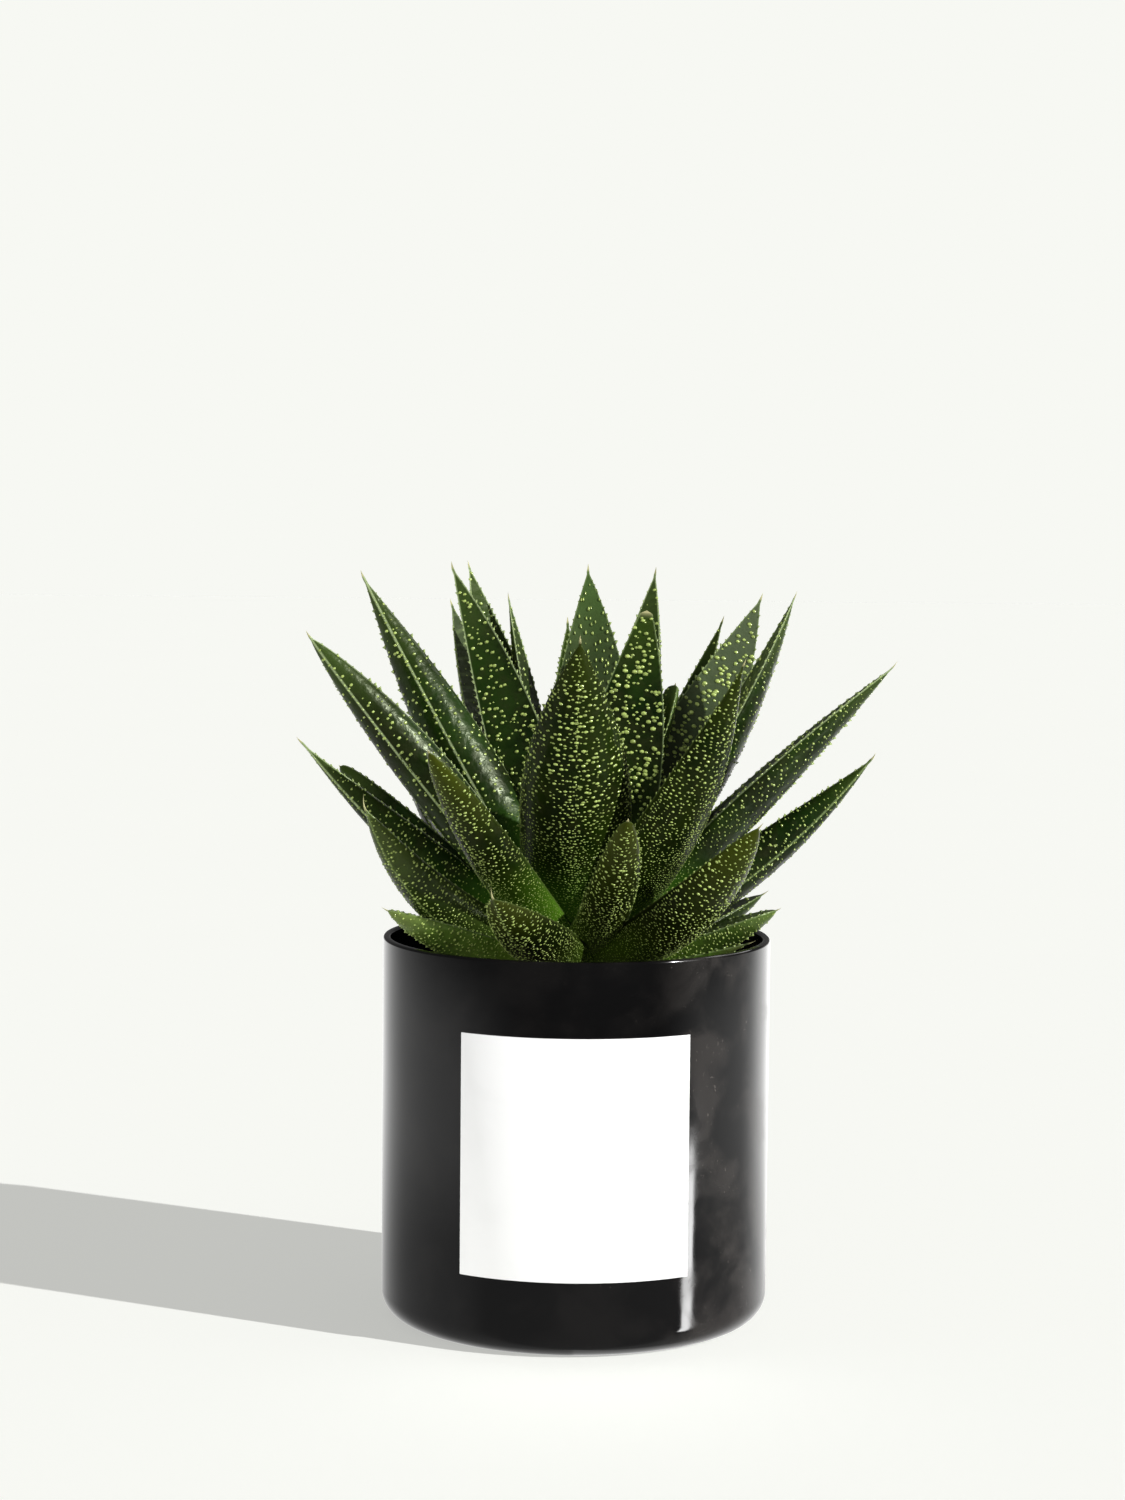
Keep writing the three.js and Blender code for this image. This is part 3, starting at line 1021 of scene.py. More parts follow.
class Tint(Enum):
    """The leaves' colourings."""

    GREEN = LeafFinish(
        "leaf_skin_green", "leaf_green",
        deep=(0.002, 0.008, 0.001), bright=(0.007, 0.025, 0.002), young=(0.04, 0.14, 0.007),
        old=(0.038, 0.066, 0.008), gloss=0.38,
    )
    # The bronze skin's young colour is the real paler base, made brighter to paint in light where the crown
    # lies in shade.
    BRONZE = LeafFinish(
        "leaf_skin_bronze", "leaf_bronze",
        deep=(0.0035, 0.009, 0.001), bright=(0.010, 0.021, 0.001), young=(0.045, 0.12, 0.008),
        old=(0.026, 0.037, 0.003), flush_share=0.22, margin=(0.06, 0.085, 0.02), young_reach=0.34, gloss=0.2,
    )
    OLIVE = LeafFinish(
        "leaf_skin_olive", "leaf_bronze",
        deep=(0.004, 0.008, 0.001), bright=(0.011, 0.018, 0.001), young=(0.038, 0.074, 0.004),
        old=(0.045, 0.056, 0.004), margin=(0.06, 0.085, 0.02), young_reach=0.5, flush_share=0.22, gloss=0.18,
        old_from=0.6,
    )
    VIVID = LeafFinish(
        "leaf_skin_vivid", "leaf_bronze",
        deep=(0.004, 0.009, 0.001), bright=(0.011, 0.019, 0.001), young=(0.065, 0.165, 0.008),
        old=(0.062, 0.078, 0.004), margin=(0.06, 0.085, 0.02), young_reach=0.58, old_from=0.6,
        flush_share=0.15, gloss=0.25,
    )
    MOSS = LeafFinish(
        "leaf_skin_moss", "leaf_bronze",
        deep=(0.013, 0.026, 0.003), bright=(0.036, 0.06, 0.008), young=(0.06, 0.12, 0.008),
        old=(0.07, 0.10, 0.02), margin=(0.16, 0.22, 0.07), flush_share=0.12, gloss=0.8,
    )
    # This skin's bright margin and keel colour is mostly a painted highlight line laid over their real pale
    # rim.
    LINED = LeafFinish(
        "leaf_skin_lined", "leaf_green",
        deep=(0.0035, 0.011, 0.001), bright=(0.012, 0.032, 0.003), young=(0.045, 0.15, 0.008),
        old=(0.06, 0.10, 0.02), margin=(0.42, 0.52, 0.26),
    )
    # This skin's old colour, which greys it from a third of its length to the tip, is a painted sheen.
    HAZY = LeafFinish(
        "leaf_skin_hazy", "leaf_green",
        deep=(0.008, 0.016, 0.004), bright=(0.02, 0.036, 0.01), young=(0.02, 0.055, 0.005),
        old=(0.115, 0.15, 0.078), old_from=0.3, flush_share=0.1,
    )
    # A pale fresh green, made brighter still to paint in fill light on a low leaf that lies in shade.
    SPRING = LeafFinish(
        "leaf_skin_spring", "leaf_green", young_reach=0.7,
        deep=(0.06, 0.12, 0.015), bright=(0.12, 0.2, 0.028), young=(0.16, 0.30, 0.022),
        old=(0.2, 0.26, 0.06), flush_share=0.1, gloss=0.6,
    )
    PALE = LeafFinish(
        "leaf_skin_pale", "leaf_pale",
        deep=(0.06, 0.14, 0.012), bright=(0.13, 0.25, 0.03), young=(0.2, 0.32, 0.05),
        old=(0.14, 0.13, 0.05), flush_share=0.15,
    )
    # Its bands are real; its light tones are raised to paint in light on a leaf that lies in deep shade.
    BANDED = LeafFinish(
        "leaf_skin_banded", "leaf_green",
        deep=(0.04, 0.056, 0.026), bright=(0.062, 0.086, 0.038), young=(0.05, 0.07, 0.022),
        old=(0.045, 0.065, 0.025), flush_share=0.3, bands=0.3,
    )
    GREY = LeafFinish(
        "leaf_skin_grey", "leaf_green",
        deep=(0.028, 0.046, 0.015), bright=(0.058, 0.082, 0.032), young=(0.05, 0.12, 0.02),
        old=(0.05, 0.11, 0.02), flush_share=0.1,
    )
    FRESH = LeafFinish(
        "leaf_skin_fresh", "leaf_green", young_reach=0.6,
        deep=(0.022, 0.048, 0.006), bright=(0.05, 0.095, 0.011), young=(0.085, 0.17, 0.015),
        old=(0.10, 0.16, 0.03), flush_share=0.2,
    )


@dataclass(frozen=True)
class WartSpread:
    """How warts lie on a face: small flecks near the root, which give way to larger dots.

    The sizes are millimetres: the radius of the flecks and the dots, their pitch across the leaf
    and that of their rows. The change is the span of the leaf's length over which flecks turn to
    dots, and the bands are the length of one dense and one bare stretch. Warts are stretched
    across the leaf, kept as often as the share says, and loose by a share of their pitch.
    """

    fleck: float
    fleck_pitch: float
    fleck_row: float
    dot: float
    dot_pitch: float
    dot_row: float
    change: tuple[float, float] = (0.3, 0.62)
    stretch: float = 1.5
    kept: float = 0.85
    bands: float = 0.0
    loose: float = 0.42


class Warts(Enum):
    """The ways in which a face is warted."""

    FLECKED = WartSpread(
        0.16, 0.75, 0.7, 0.29, 1.15, 1.2, change=(0.3, 0.65), stretch=1.7, kept=1.08, loose=0.26,
    )
    DOTTED = WartSpread(0.18, 1.05, 0.95, 0.34, 1.75, 1.75, change=(0.1, 0.45), stretch=1.25, kept=0.9)
    SMALL = WartSpread(0.16, 0.8, 0.75, 0.26, 1.2, 1.2, change=(0.2, 0.6), stretch=1.35, kept=0.9)
    DOMED = WartSpread(0.33, 1.2, 1.1, 0.47, 1.5, 1.25, change=(0.1, 0.4), stretch=1.3, kept=1.35, bands=3.9)
    LOOSE = WartSpread(0.28, 1.4, 1.3, 0.42, 1.9, 1.6, change=(0.1, 0.4), stretch=1.3, kept=0.75, bands=4.4)
    SPARSE = WartSpread(0.2, 1.6, 1.6, 0.26, 2.2, 2.4, stretch=1.2, kept=0.6)
    STROKES = WartSpread(0.4, 1.5, 1.9, 0.58, 1.45, 2.1, change=(0.1, 0.4), stretch=0.42, kept=1.6)
    FINE = WartSpread(
        0.14, 0.64, 0.56, 0.25, 1.04, 0.98, change=(0.3, 0.75), stretch=1.5, kept=1.05, loose=0.34,
    )
    STREWN = WartSpread(0.2, 1.1, 1.1, 0.37, 1.4, 1.35, change=(0.1, 0.4), stretch=1.3, kept=0.9, bands=4.1)


@dataclass(frozen=True)
class Leaf:
    """One leaf: its tip and width in millimetres, and how its shape differs from the plain leaf's.

    The bow bends its middle out and the swing bends it aside, both in millimetres. The turn is how
    far it twists, in degrees. The peak is where it is widest, the base its width at the root as a
    share of that, and the power how full its outline is. A broken leaf lacks that share of its
    length. The bristle is in millimetres, and curls up by a share of its length.
    """

    name: str
    tip: Place
    width: float
    tint: Tint = Tint.GREEN
    bow: float = -3.0
    swing: float = 0.0
    turn: float = 0.0
    peak: float = 0.38
    base: float = 0.78
    power: float = 0.9
    broken: float = 0.0
    thickness: float = 0.86
    bristle: float = 2.0
    curl: float = 0.15
    keeled: bool = True
    outer: Warts = Warts.DOTTED
    inner: Warts = Warts.LOOSE


BRONZE, OLIVE, PALE = Tint.BRONZE, Tint.OLIVE, Tint.PALE
BANDED, GREY, FRESH, MOSS = Tint.BANDED, Tint.GREY, Tint.FRESH, Tint.MOSS
LINED, HAZY, SPRING, VIVID = Tint.LINED, Tint.HAZY, Tint.SPRING, Tint.VIVID
FLECKED, FINE, SMALL, SPARSE = Warts.FLECKED, Warts.FINE, Warts.SMALL, Warts.SPARSE
DOMED, STROKES, STREWN = Warts.DOMED, Warts.STROKES, Warts.STREWN

LEAVES = (
    Leaf(
        "front_tall", (0.2, -36, 160), 25.5, BRONZE, bow=-2, swing=-0.6, peak=0.42, base=0.97,
        keeled=False, outer=FLECKED,
    ),
    Leaf(
        "front_short", (11, -50, 121), 12, OLIVE, bow=-3, swing=1, base=1.7, power=0.5, bristle=1,
        keeled=False, outer=FINE,
    ),
    Leaf(
        "front_low", (-19, -50, 104), 18.5, OLIVE, bow=-1, base=1.15, power=0.75, bristle=2.5, curl=0.8,
        outer=FINE,
    ),
    Leaf(
        "front_left", (-33, -43, 135), 15, VIVID, bow=-2, base=0.95, power=0.6, bristle=1, keeled=False,
        outer=FINE,
    ),
    Leaf("front_right", (37, -34, 155), 20, BRONZE, bow=-5, base=0.95, power=1, keeled=False, outer=FINE),
    Leaf("front_right_low", (41, -38, 119), 21, OLIVE, bow=-5, power=0.65, keeled=False, outer=FINE),
    Leaf("left_low", (-44, -26, 98), 19, SPRING, bow=-1, power=0.65, outer=FINE, inner=SPARSE),
    Leaf(
        "left_middle", (-49.5, -26, 121.5), 15, MOSS, bow=-7, turn=30, power=0.75, curl=0.9, bristle=3,
        outer=FINE,
    ),
    Leaf("left_spread", (-66, 4, 134), 11, LINED, bow=-2.5, turn=60, power=1.05, outer=SMALL),
    Leaf(
        "left_shaded", (-57.5, 24, 126), 16, bow=-1.5, turn=40, power=0.45, bristle=0.6, outer=SPARSE,
        inner=SPARSE,
    ),
    Leaf(
        "left_high", (-62.5, -12, 159.5), 13, LINED,
        bow=0.5, turn=60, peak=0.5, power=0.75, thickness=0.95,
    ),
    Leaf("left_tall", (-51.5, 8, 173), 15.5, LINED, bow=-0.5, turn=95, power=1),
    Leaf("right_inside", (41, -14, 89.5), 8, PALE, bow=-1, power=0.8, outer=SPARSE, inner=SPARSE),
    Leaf("right_low", (47.5, -4, 96), 17, FRESH, bow=-1.5, power=0.6, bristle=1.5, outer=FINE, inner=SPARSE),
    Leaf("right_low_rear", (45.5, 12, 98), 15, bow=-1.5, power=0.7, outer=SMALL),
    Leaf("right_spread", (70, 6, 131), 12.5, bow=-3.8, turn=-65, curl=0.4, outer=SMALL),
    Leaf("right_high", (73, -8, 153.5), 20, LINED, bow=0.8, turn=2, base=1, outer=SMALL),
    Leaf("right_tall", (51, 8, 169), 18, LINED, bow=-4, outer=SMALL),
    Leaf("rear_right_broad", (44, 26, 168), 20, HAZY, bow=-2, turn=55, inner=DOMED),
    Leaf("rear_right_thin", (35.5, 42, 162), 12, bow=-2),
    # rear_blunt takes the brighter fresh skin to paint in light, since it lies in the shade of the
    # right-hand leaves.
    Leaf("rear_blunt", (23, 16, 147), 9, FRESH, bow=-1, power=0.25, bristle=0.8),
    Leaf(
        "rear_broken", (16, 16, 164), 21.5, bow=-2.5, turn=35, peak=0.3, base=1, broken=0.05, bristle=0.8,
        inner=DOMED,
    ),
    Leaf("rear_edge", (18.5, 32, 174), 18, LINED, bow=-4),
    Leaf("rear_tall", (2, 37, 174.5), 22, GREY, bow=-2.5, swing=-2, inner=STROKES),
    Leaf("rear_far", (-3, 54, 161), 13, bow=-1),
    Leaf("rear_narrow", (-17.5, 34, 167.5), 12, LINED, bow=-1, turn=40),
    Leaf("rear_left_broad", (-31, 26, 175), 14.5, LINED, bow=1, swing=-2.5, turn=-60, inner=STREWN),
    Leaf("rear_left_high", (-27.5, 40, 175), 17, LINED, bow=-1),
    Leaf("rear_left_banded", (-32, 46, 165.5), 17, BANDED, bow=-2.5, inner=SPARSE),
    Leaf("far_left", (-45, 42, 128), 18),
    Leaf("far_middle", (-14, 60, 134), 18, BRONZE, outer=FLECKED),
    Leaf("far_right", (23, 58, 138), 18),
    Leaf("far_side", (46, 38, 126), 17),
    Leaf("far_low_left", (-32, 36, 104), 15),
    Leaf("far_low_middle", (4, 50, 105), 16, BRONZE, outer=FLECKED),
    Leaf("far_low_right", (34, 36, 104), 15),
    Leaf("heart_left", (-8, 4, 138), 12, bow=0),
    Leaf("heart_right", (8, 1, 136), 12, bow=0),
    Leaf("heart_middle", (0, 8, 134), 10, PALE, bow=0, outer=SPARSE, inner=SPARSE),
)


@dataclass(frozen=True)
class Growth:
    """What all leaves share, in millimetres and shares of their length."""

    crown: float = 86.0
    root_reach: float = 6.4
    root_height: float = 79.5
    root_climb: float = 15.0
    climb_power: float = 1.4
    channel: float = 0.1
    lift: float = 0.4
    base_thickness: float = 0.55
    fleshy_from: float = 0.3
    bristle: float = 0.24
    bristle_bend: float = 1.74
    thinnest: float = 1.4
    keeled: float = 1.12
    rounded: float = 1.0
    hollowness: float = 0.9
    twisted_by: float = 0.4


def unit(vectors: np.ndarray) -> np.ndarray:
    """Scales vectors to length one."""
    return vectors / np.maximum(np.linalg.norm(vectors, axis=-1, keepdims=True), 1e-12)


def ease(values: np.ndarray, low: float, high: float) -> np.ndarray:
    """Eases from 0 to 1 while values go from low to high."""
    share = np.clip((values - low) / (high - low), 0, 1)
    return share * share * (3 - 2 * share)


def between(first: float, second: float, share: float) -> float:
    """Mixes two values by the second one's share."""
    return first + (second - first) * share


class LeafForm:
    """A leaf's surface, at any share of its length and any angle round it, in millimetres.

    The angle starts at one margin, passes over the inner face to the other margin at a half turn,
    and comes back over the keel at three quarters.
    """

    def __init__(self, leaf: Leaf, growth: Growth) -> None:
        """Lays the leaf's middle line from the crown to its tip.

        Args:
            leaf: The leaf.
            growth: What it shares with the others.
        """
        self.leaf = leaf
        self.growth = growth
        tip = np.array(leaf.tip, float)
        reach = math.hypot(tip[0], tip[1])
        out = np.array([tip[0] / reach, tip[1] / reach, 0.0])
        elevation = math.atan2(tip[2] - growth.crown, reach)
        uprightness = max(elevation, 0.0) / (math.pi / 2)
        root = out * growth.root_reach * math.cos(elevation)
        root[2] = growth.root_height + growth.root_climb * uprightness**growth.climb_power
        self.side = np.array([-out[1], out[0], 0.0])
        self.chord = unit(tip - root)
        self.rise = unit(np.cross(self.chord, self.side))
        self.root = root
        self.end = tip - self.chord * leaf.bristle
        self.middle = (root + self.end) / 2 + self.rise * 2 * leaf.bow + self.side * 2 * leaf.swing
        self.length = float(np.linalg.norm(self.end - root))
        self.power = growth.keeled if leaf.keeled else growth.rounded

    def line(self, along: np.ndarray) -> tuple[np.ndarray, np.ndarray]:
        """Follows the middle line.

        Args:
            along: Shares of its length.

        Returns:
            The points there, and the line's directions.
        """
        t = along[:, None]
        points = (1 - t) ** 2 * self.root + 2 * (1 - t) * t * self.middle + t**2 * self.end
        heading = (1 - t) * (self.middle - self.root) + t * (self.end - self.middle)
        return points, unit(heading)

    def half_width(self, along: np.ndarray) -> np.ndarray:
        """Measures the leaf across.

        Args:
            along: Shares of its length.

        Returns:
            Half its width there.
        """
        leaf = self.leaf
        t = along * (1 - leaf.broken)
        low = leaf.base + (1 - leaf.base) * np.sin(np.pi / 2 * np.minimum(t / leaf.peak, 1))
        high = np.cos(np.pi / 2 * np.clip((t - leaf.peak) / (1 - leaf.peak), 0, 1))
        share = np.where(t < leaf.peak, low, high) ** leaf.power
        return np.maximum(leaf.width / 2 * share, self.growth.thinnest * self.growth.bristle)

    def depths(self, along: np.ndarray, half: np.ndarray) -> tuple[np.ndarray, np.ndarray]:
        """Measures the leaf's thickness.

        Args:
            along: Shares of its length.
            half: Half its width there.

        Returns:
            The keel's depth and the inner face's hollow.
        """
        grow = self.growth
        fleshy = ease(along, 0, grow.fleshy_from)
        keel = half * (grow.base_thickness + (self.leaf.thickness - grow.base_thickness) * fleshy)
        hollow = half * grow.channel * ease(1 - along, 0, grow.fleshy_from)
        return np.maximum(keel, grow.thinnest * grow.bristle), hollow

    def outline(self, along: np.ndarray, angle: np.ndarray) -> tuple[np.ndarray, np.ndarray]:
        """Draws sections of the leaf.

        Args:
            along: Shares of its length.
            angle: Angles round it.

        Returns:
            The points' places across and up in their own sections.
        """
        half = self.half_width(along)
        keel, hollow = self.depths(along, half)
        cosine, sine = np.cos(angle), np.sin(angle)
        inside = sine > 0
        power = self.power
        across = np.where(inside, cosine, np.sign(cosine) * np.abs(cosine) ** power)
        down = np.where(inside, 0.0, -(np.abs(sine) ** power))
        dip = np.where(inside, -((1 - cosine**2) ** self.growth.hollowness), 0.0)
        return across * half, (down + self.growth.lift) * keel + dip * hollow

    def axes(self, along: np.ndarray) -> tuple[np.ndarray, np.ndarray, np.ndarray, np.ndarray]:
        """Follows the middle line with the leaf's own twisted axes.

        Args:
            along: Shares of its length.

        Returns:
            The points there, and the directions across, up and along.
        """
        points, heading = self.line(along)
        across = unit(self.side - heading * (heading @ self.side)[:, None])
        lean = math.radians(self.leaf.turn) * ease(along, 0, self.growth.twisted_by)[:, None]
        across = across * np.cos(lean) + np.cross(heading, across) * np.sin(lean)
        return points, across, np.cross(heading, across), heading

    def surface(self, along: np.ndarray, angle: np.ndarray, shrink: np.ndarray | float = 1.0) -> np.ndarray:
        """Finds points on or under the surface.

        Args:
            along: Shares of the leaf's length.
            angle: Angles round it.
            shrink: Their distance from the middle line, as a share of the surface's.

        Returns:
            The points.
        """
        points, across, up, _ = self.axes(along)
        x, y = self.outline(along, angle)
        return points + across * (x * shrink)[:, None] + up * (y * shrink)[:, None]

    def ridge(self, along: np.ndarray, angle: np.ndarray) -> np.ndarray:
        """Measures how near the surface's points are to a ridge.

        Args:
            along: Shares of the leaf's length.
            angle: Angles round it.

        Returns:
            The distances to the nearest margin or keel.
        """
        x, y = self.outline(along, angle)
        half = self.half_width(along)
        keel, _ = self.depths(along, half)
        margin = np.hypot(half - np.abs(x), y - self.growth.lift * keel)
        keel_line = np.hypot(x, y - (self.growth.lift - 1) * keel)
        return np.minimum(margin, keel_line) if self.leaf.keeled else margin

    def standing(self, along: np.ndarray, angle: np.ndarray) -> tuple[np.ndarray, ...]:
        """Stands axes on the surface.

        Args:
            along: Shares of the leaf's length.
            angle: Angles round it.

        Returns:
            The points there, and the directions across, along and outward.
        """
        turn, step = 0.01, 0.004
        round_it = unit(self.surface(along, angle + turn) - self.surface(along, angle - turn))
        down_it = self.surface(np.minimum(along + step, 1), angle) - self.surface(along - step, angle)
        outward = unit(np.cross(round_it, unit(down_it)))
        return self.surface(along, angle), round_it, np.cross(outward, round_it), outward


@dataclass
class Batch:
    """Corners, faces and the values that corners carry, gathered for one mesh."""

    corners: list[np.ndarray] = field(default_factory=list)
    faces: list[list[int]] = field(default_factory=list)
    values: dict[str, list[np.ndarray]] = field(default_factory=dict)
    count: int = 0

    def add(self, corners: np.ndarray, faces: Iterable[Iterable[int]], **values: np.ndarray | float) -> None:
        """Adds a form.

        Args:
            corners: Its corners, in millimetres.
            faces: Its faces, by the places of their corners in that list.
            values: What its corners carry, each one value for all or one for each.
        """
        self.faces.extend([index + self.count for index in face] for face in faces)
        self.corners.append(corners)
        for key, value in values.items():
            self.values.setdefault(key, []).append(np.broadcast_to(value, (len(corners),)))
        self.count += len(corners)

    def fill(self, mesh: bpy.types.Mesh) -> None:
        """Makes a mesh from what was gathered, in metres.

        Args:
            mesh: The mesh, whose old form is dropped.
        """
        mesh.clear_geometry()
        mesh.from_pydata((np.concatenate(self.corners) * MM).tolist(), [], self.faces)
        for key, parts in self.values.items():
            carry(mesh, key, np.concatenate(parts))


@dataclass(frozen=True)
class Stamp:
    """A small shape, modelled once, that is copied onto the leaves."""

    corners: np.ndarray
    faces: list[tuple[int, ...]]

    @classmethod
    def take(cls, piece: bpy.types.Object) -> "Stamp":
        """Reads the shape off a piece and clears the piece away.

        Args:
            piece: The modelled shape, which stands on the ground at unit size.

        Returns:
            The stamp.
        """
        corners = np.array([tuple(v.co) for v in piece.data.vertices])
        faces = [tuple(p.vertices) for p in piece.data.polygons]
        bpy.data.meshes.remove(piece.data)
        return cls(corners, faces)

    def press(self, batch: Batch, spots: "Spots", low: float, high: float, ridge: float) -> None:
        """Copies the shape onto every spot.

        Args:
            batch: The mesh that takes the copies.
            spots: Where the copies stand and how large they are.
            low: The wart value at the shape's foot.
            high: The wart value at its top.
            ridge: The copies' distance from a margin, as the skin's finish reads it.
        """
        count, size = len(spots.here), len(self.corners)
        solid = np.repeat(spots.here[:, None], size, axis=1)
        ways, lengths = (spots.across, spots.down, spots.out), (spots.wide, spots.long, spots.tall)
        for axis, (way, length) in enumerate(zip(ways, lengths)):
            solid = solid + self.corners[None, :, axis, None] * way[:, None] * length[:, None, None]
        faces = [[i + n * size for i in face] for n in range(count) for face in self.faces]
        tone = low + (high - low) * np.clip(self.corners[:, 2], 0, 1)
        wart = np.tile(tone, count) * np.repeat(spots.tone, size)
        along = np.repeat(spots.share, size)
        batch.add(solid.reshape(-1, 3), faces, along=along, ridge=ridge, wart=wart, dry=0.0)


@dataclass
class Spots:
    """Places on a leaf's surface with their own axes and sizes, in millimetres."""

    here: np.ndarray
    across: np.ndarray
    down: np.ndarray
    out: np.ndarray
    wide: np.ndarray
    long: np.ndarray
    tall: np.ndarray
    tone: np.ndarray
    share: np.ndarray

    def keep(self, mask: np.ndarray) -> "Spots":
        """Gives the spots where a mask is set."""
        return Spots(*(part[mask] for part in vars(self).values()))

    def in_the_open(self, leaves: BVHTree, lift: float = 0.25) -> "Spots":
        """Drops the spots that lie inside another leaf.

        Args:
            leaves: The skins of all the leaves.
            lift: How far above its spot a leaf's own skin is passed over.

        Returns:
            The spots from which the first skin met faces this way, or none is met.
        """
        clear = []
        for here, out in zip(self.here, self.out):
            _, normal, _, _ = leaves.ray_cast(Vector(here + out * lift), Vector(out))
            clear.append(normal is None or normal.dot(Vector(out)) < 0)
        return self.keep(np.array(clear, bool))


# A wart's share of the leaf's length, its angle round the leaf, its radius and its stretch.
Wart = tuple[float, float, float, float]


@dataclass(frozen=True)
class Strewing:
    """How warts are strewn over the faces and teeth along the ridges.

    Starts, ends and the spans of growing and fading are shares of the leaf's length. A girth is
    a face's breadth in half widths of the leaf, and bare_edge is a share of that breadth. Scatter
    and wave move a wart by shares of its row. Waves and patches come from noise, and their
    fineness is for one millimetre. The tooth is wide, long and tall in millimetres, as its pitch
    and root are, and the pairs of sizes, tones and pitches are ranges of random factors. A bare
    band keeps the share bare_bands of its warts. Warts rise by a share of their radius, and those
    with a larger radius than domed_from are domes.
    """

    warts_from: float = 0.07
    warts_end: float = 0.985
    inner_girth: float = 2.0
    outer_girth: float = 2.7
    bare_edge: float = 0.04
    scatter: float = 0.21
    wave: float = 1.5
    wave_across: float = 0.17
    wave_along: float = 0.09
    patches: float = 0.7
    patch_fineness: float = 0.22
    bare_bands: float = 0.35
    wart_sizes: tuple[float, float] = (0.55, 1.3)
    wart_tones: tuple[float, float] = (0.55, 1.15)
    wart_rise: float = 0.68
    tip_from: float = 0.8
    tip_shrink: float = 0.2
    domed_from: float = 0.3
    teeth_from: float = 0.2
    keel_teeth_from: float = 0.42
    teeth_end: float = 0.975
    tooth_pitch: float = 1.75
    tooth_pitches: tuple[float, float] = (0.65, 1.5)
    tooth: tuple[float, float, float] = (0.3, 0.7, 0.64)
    tooth_sizes: tuple[float, float] = (0.5, 1.15)
    tooth_root: float = 0.12
    teeth_grow: tuple[float, float] = (0.17, 0.6)
    teeth_fade: tuple[float, float] = (0.8, 1.0)


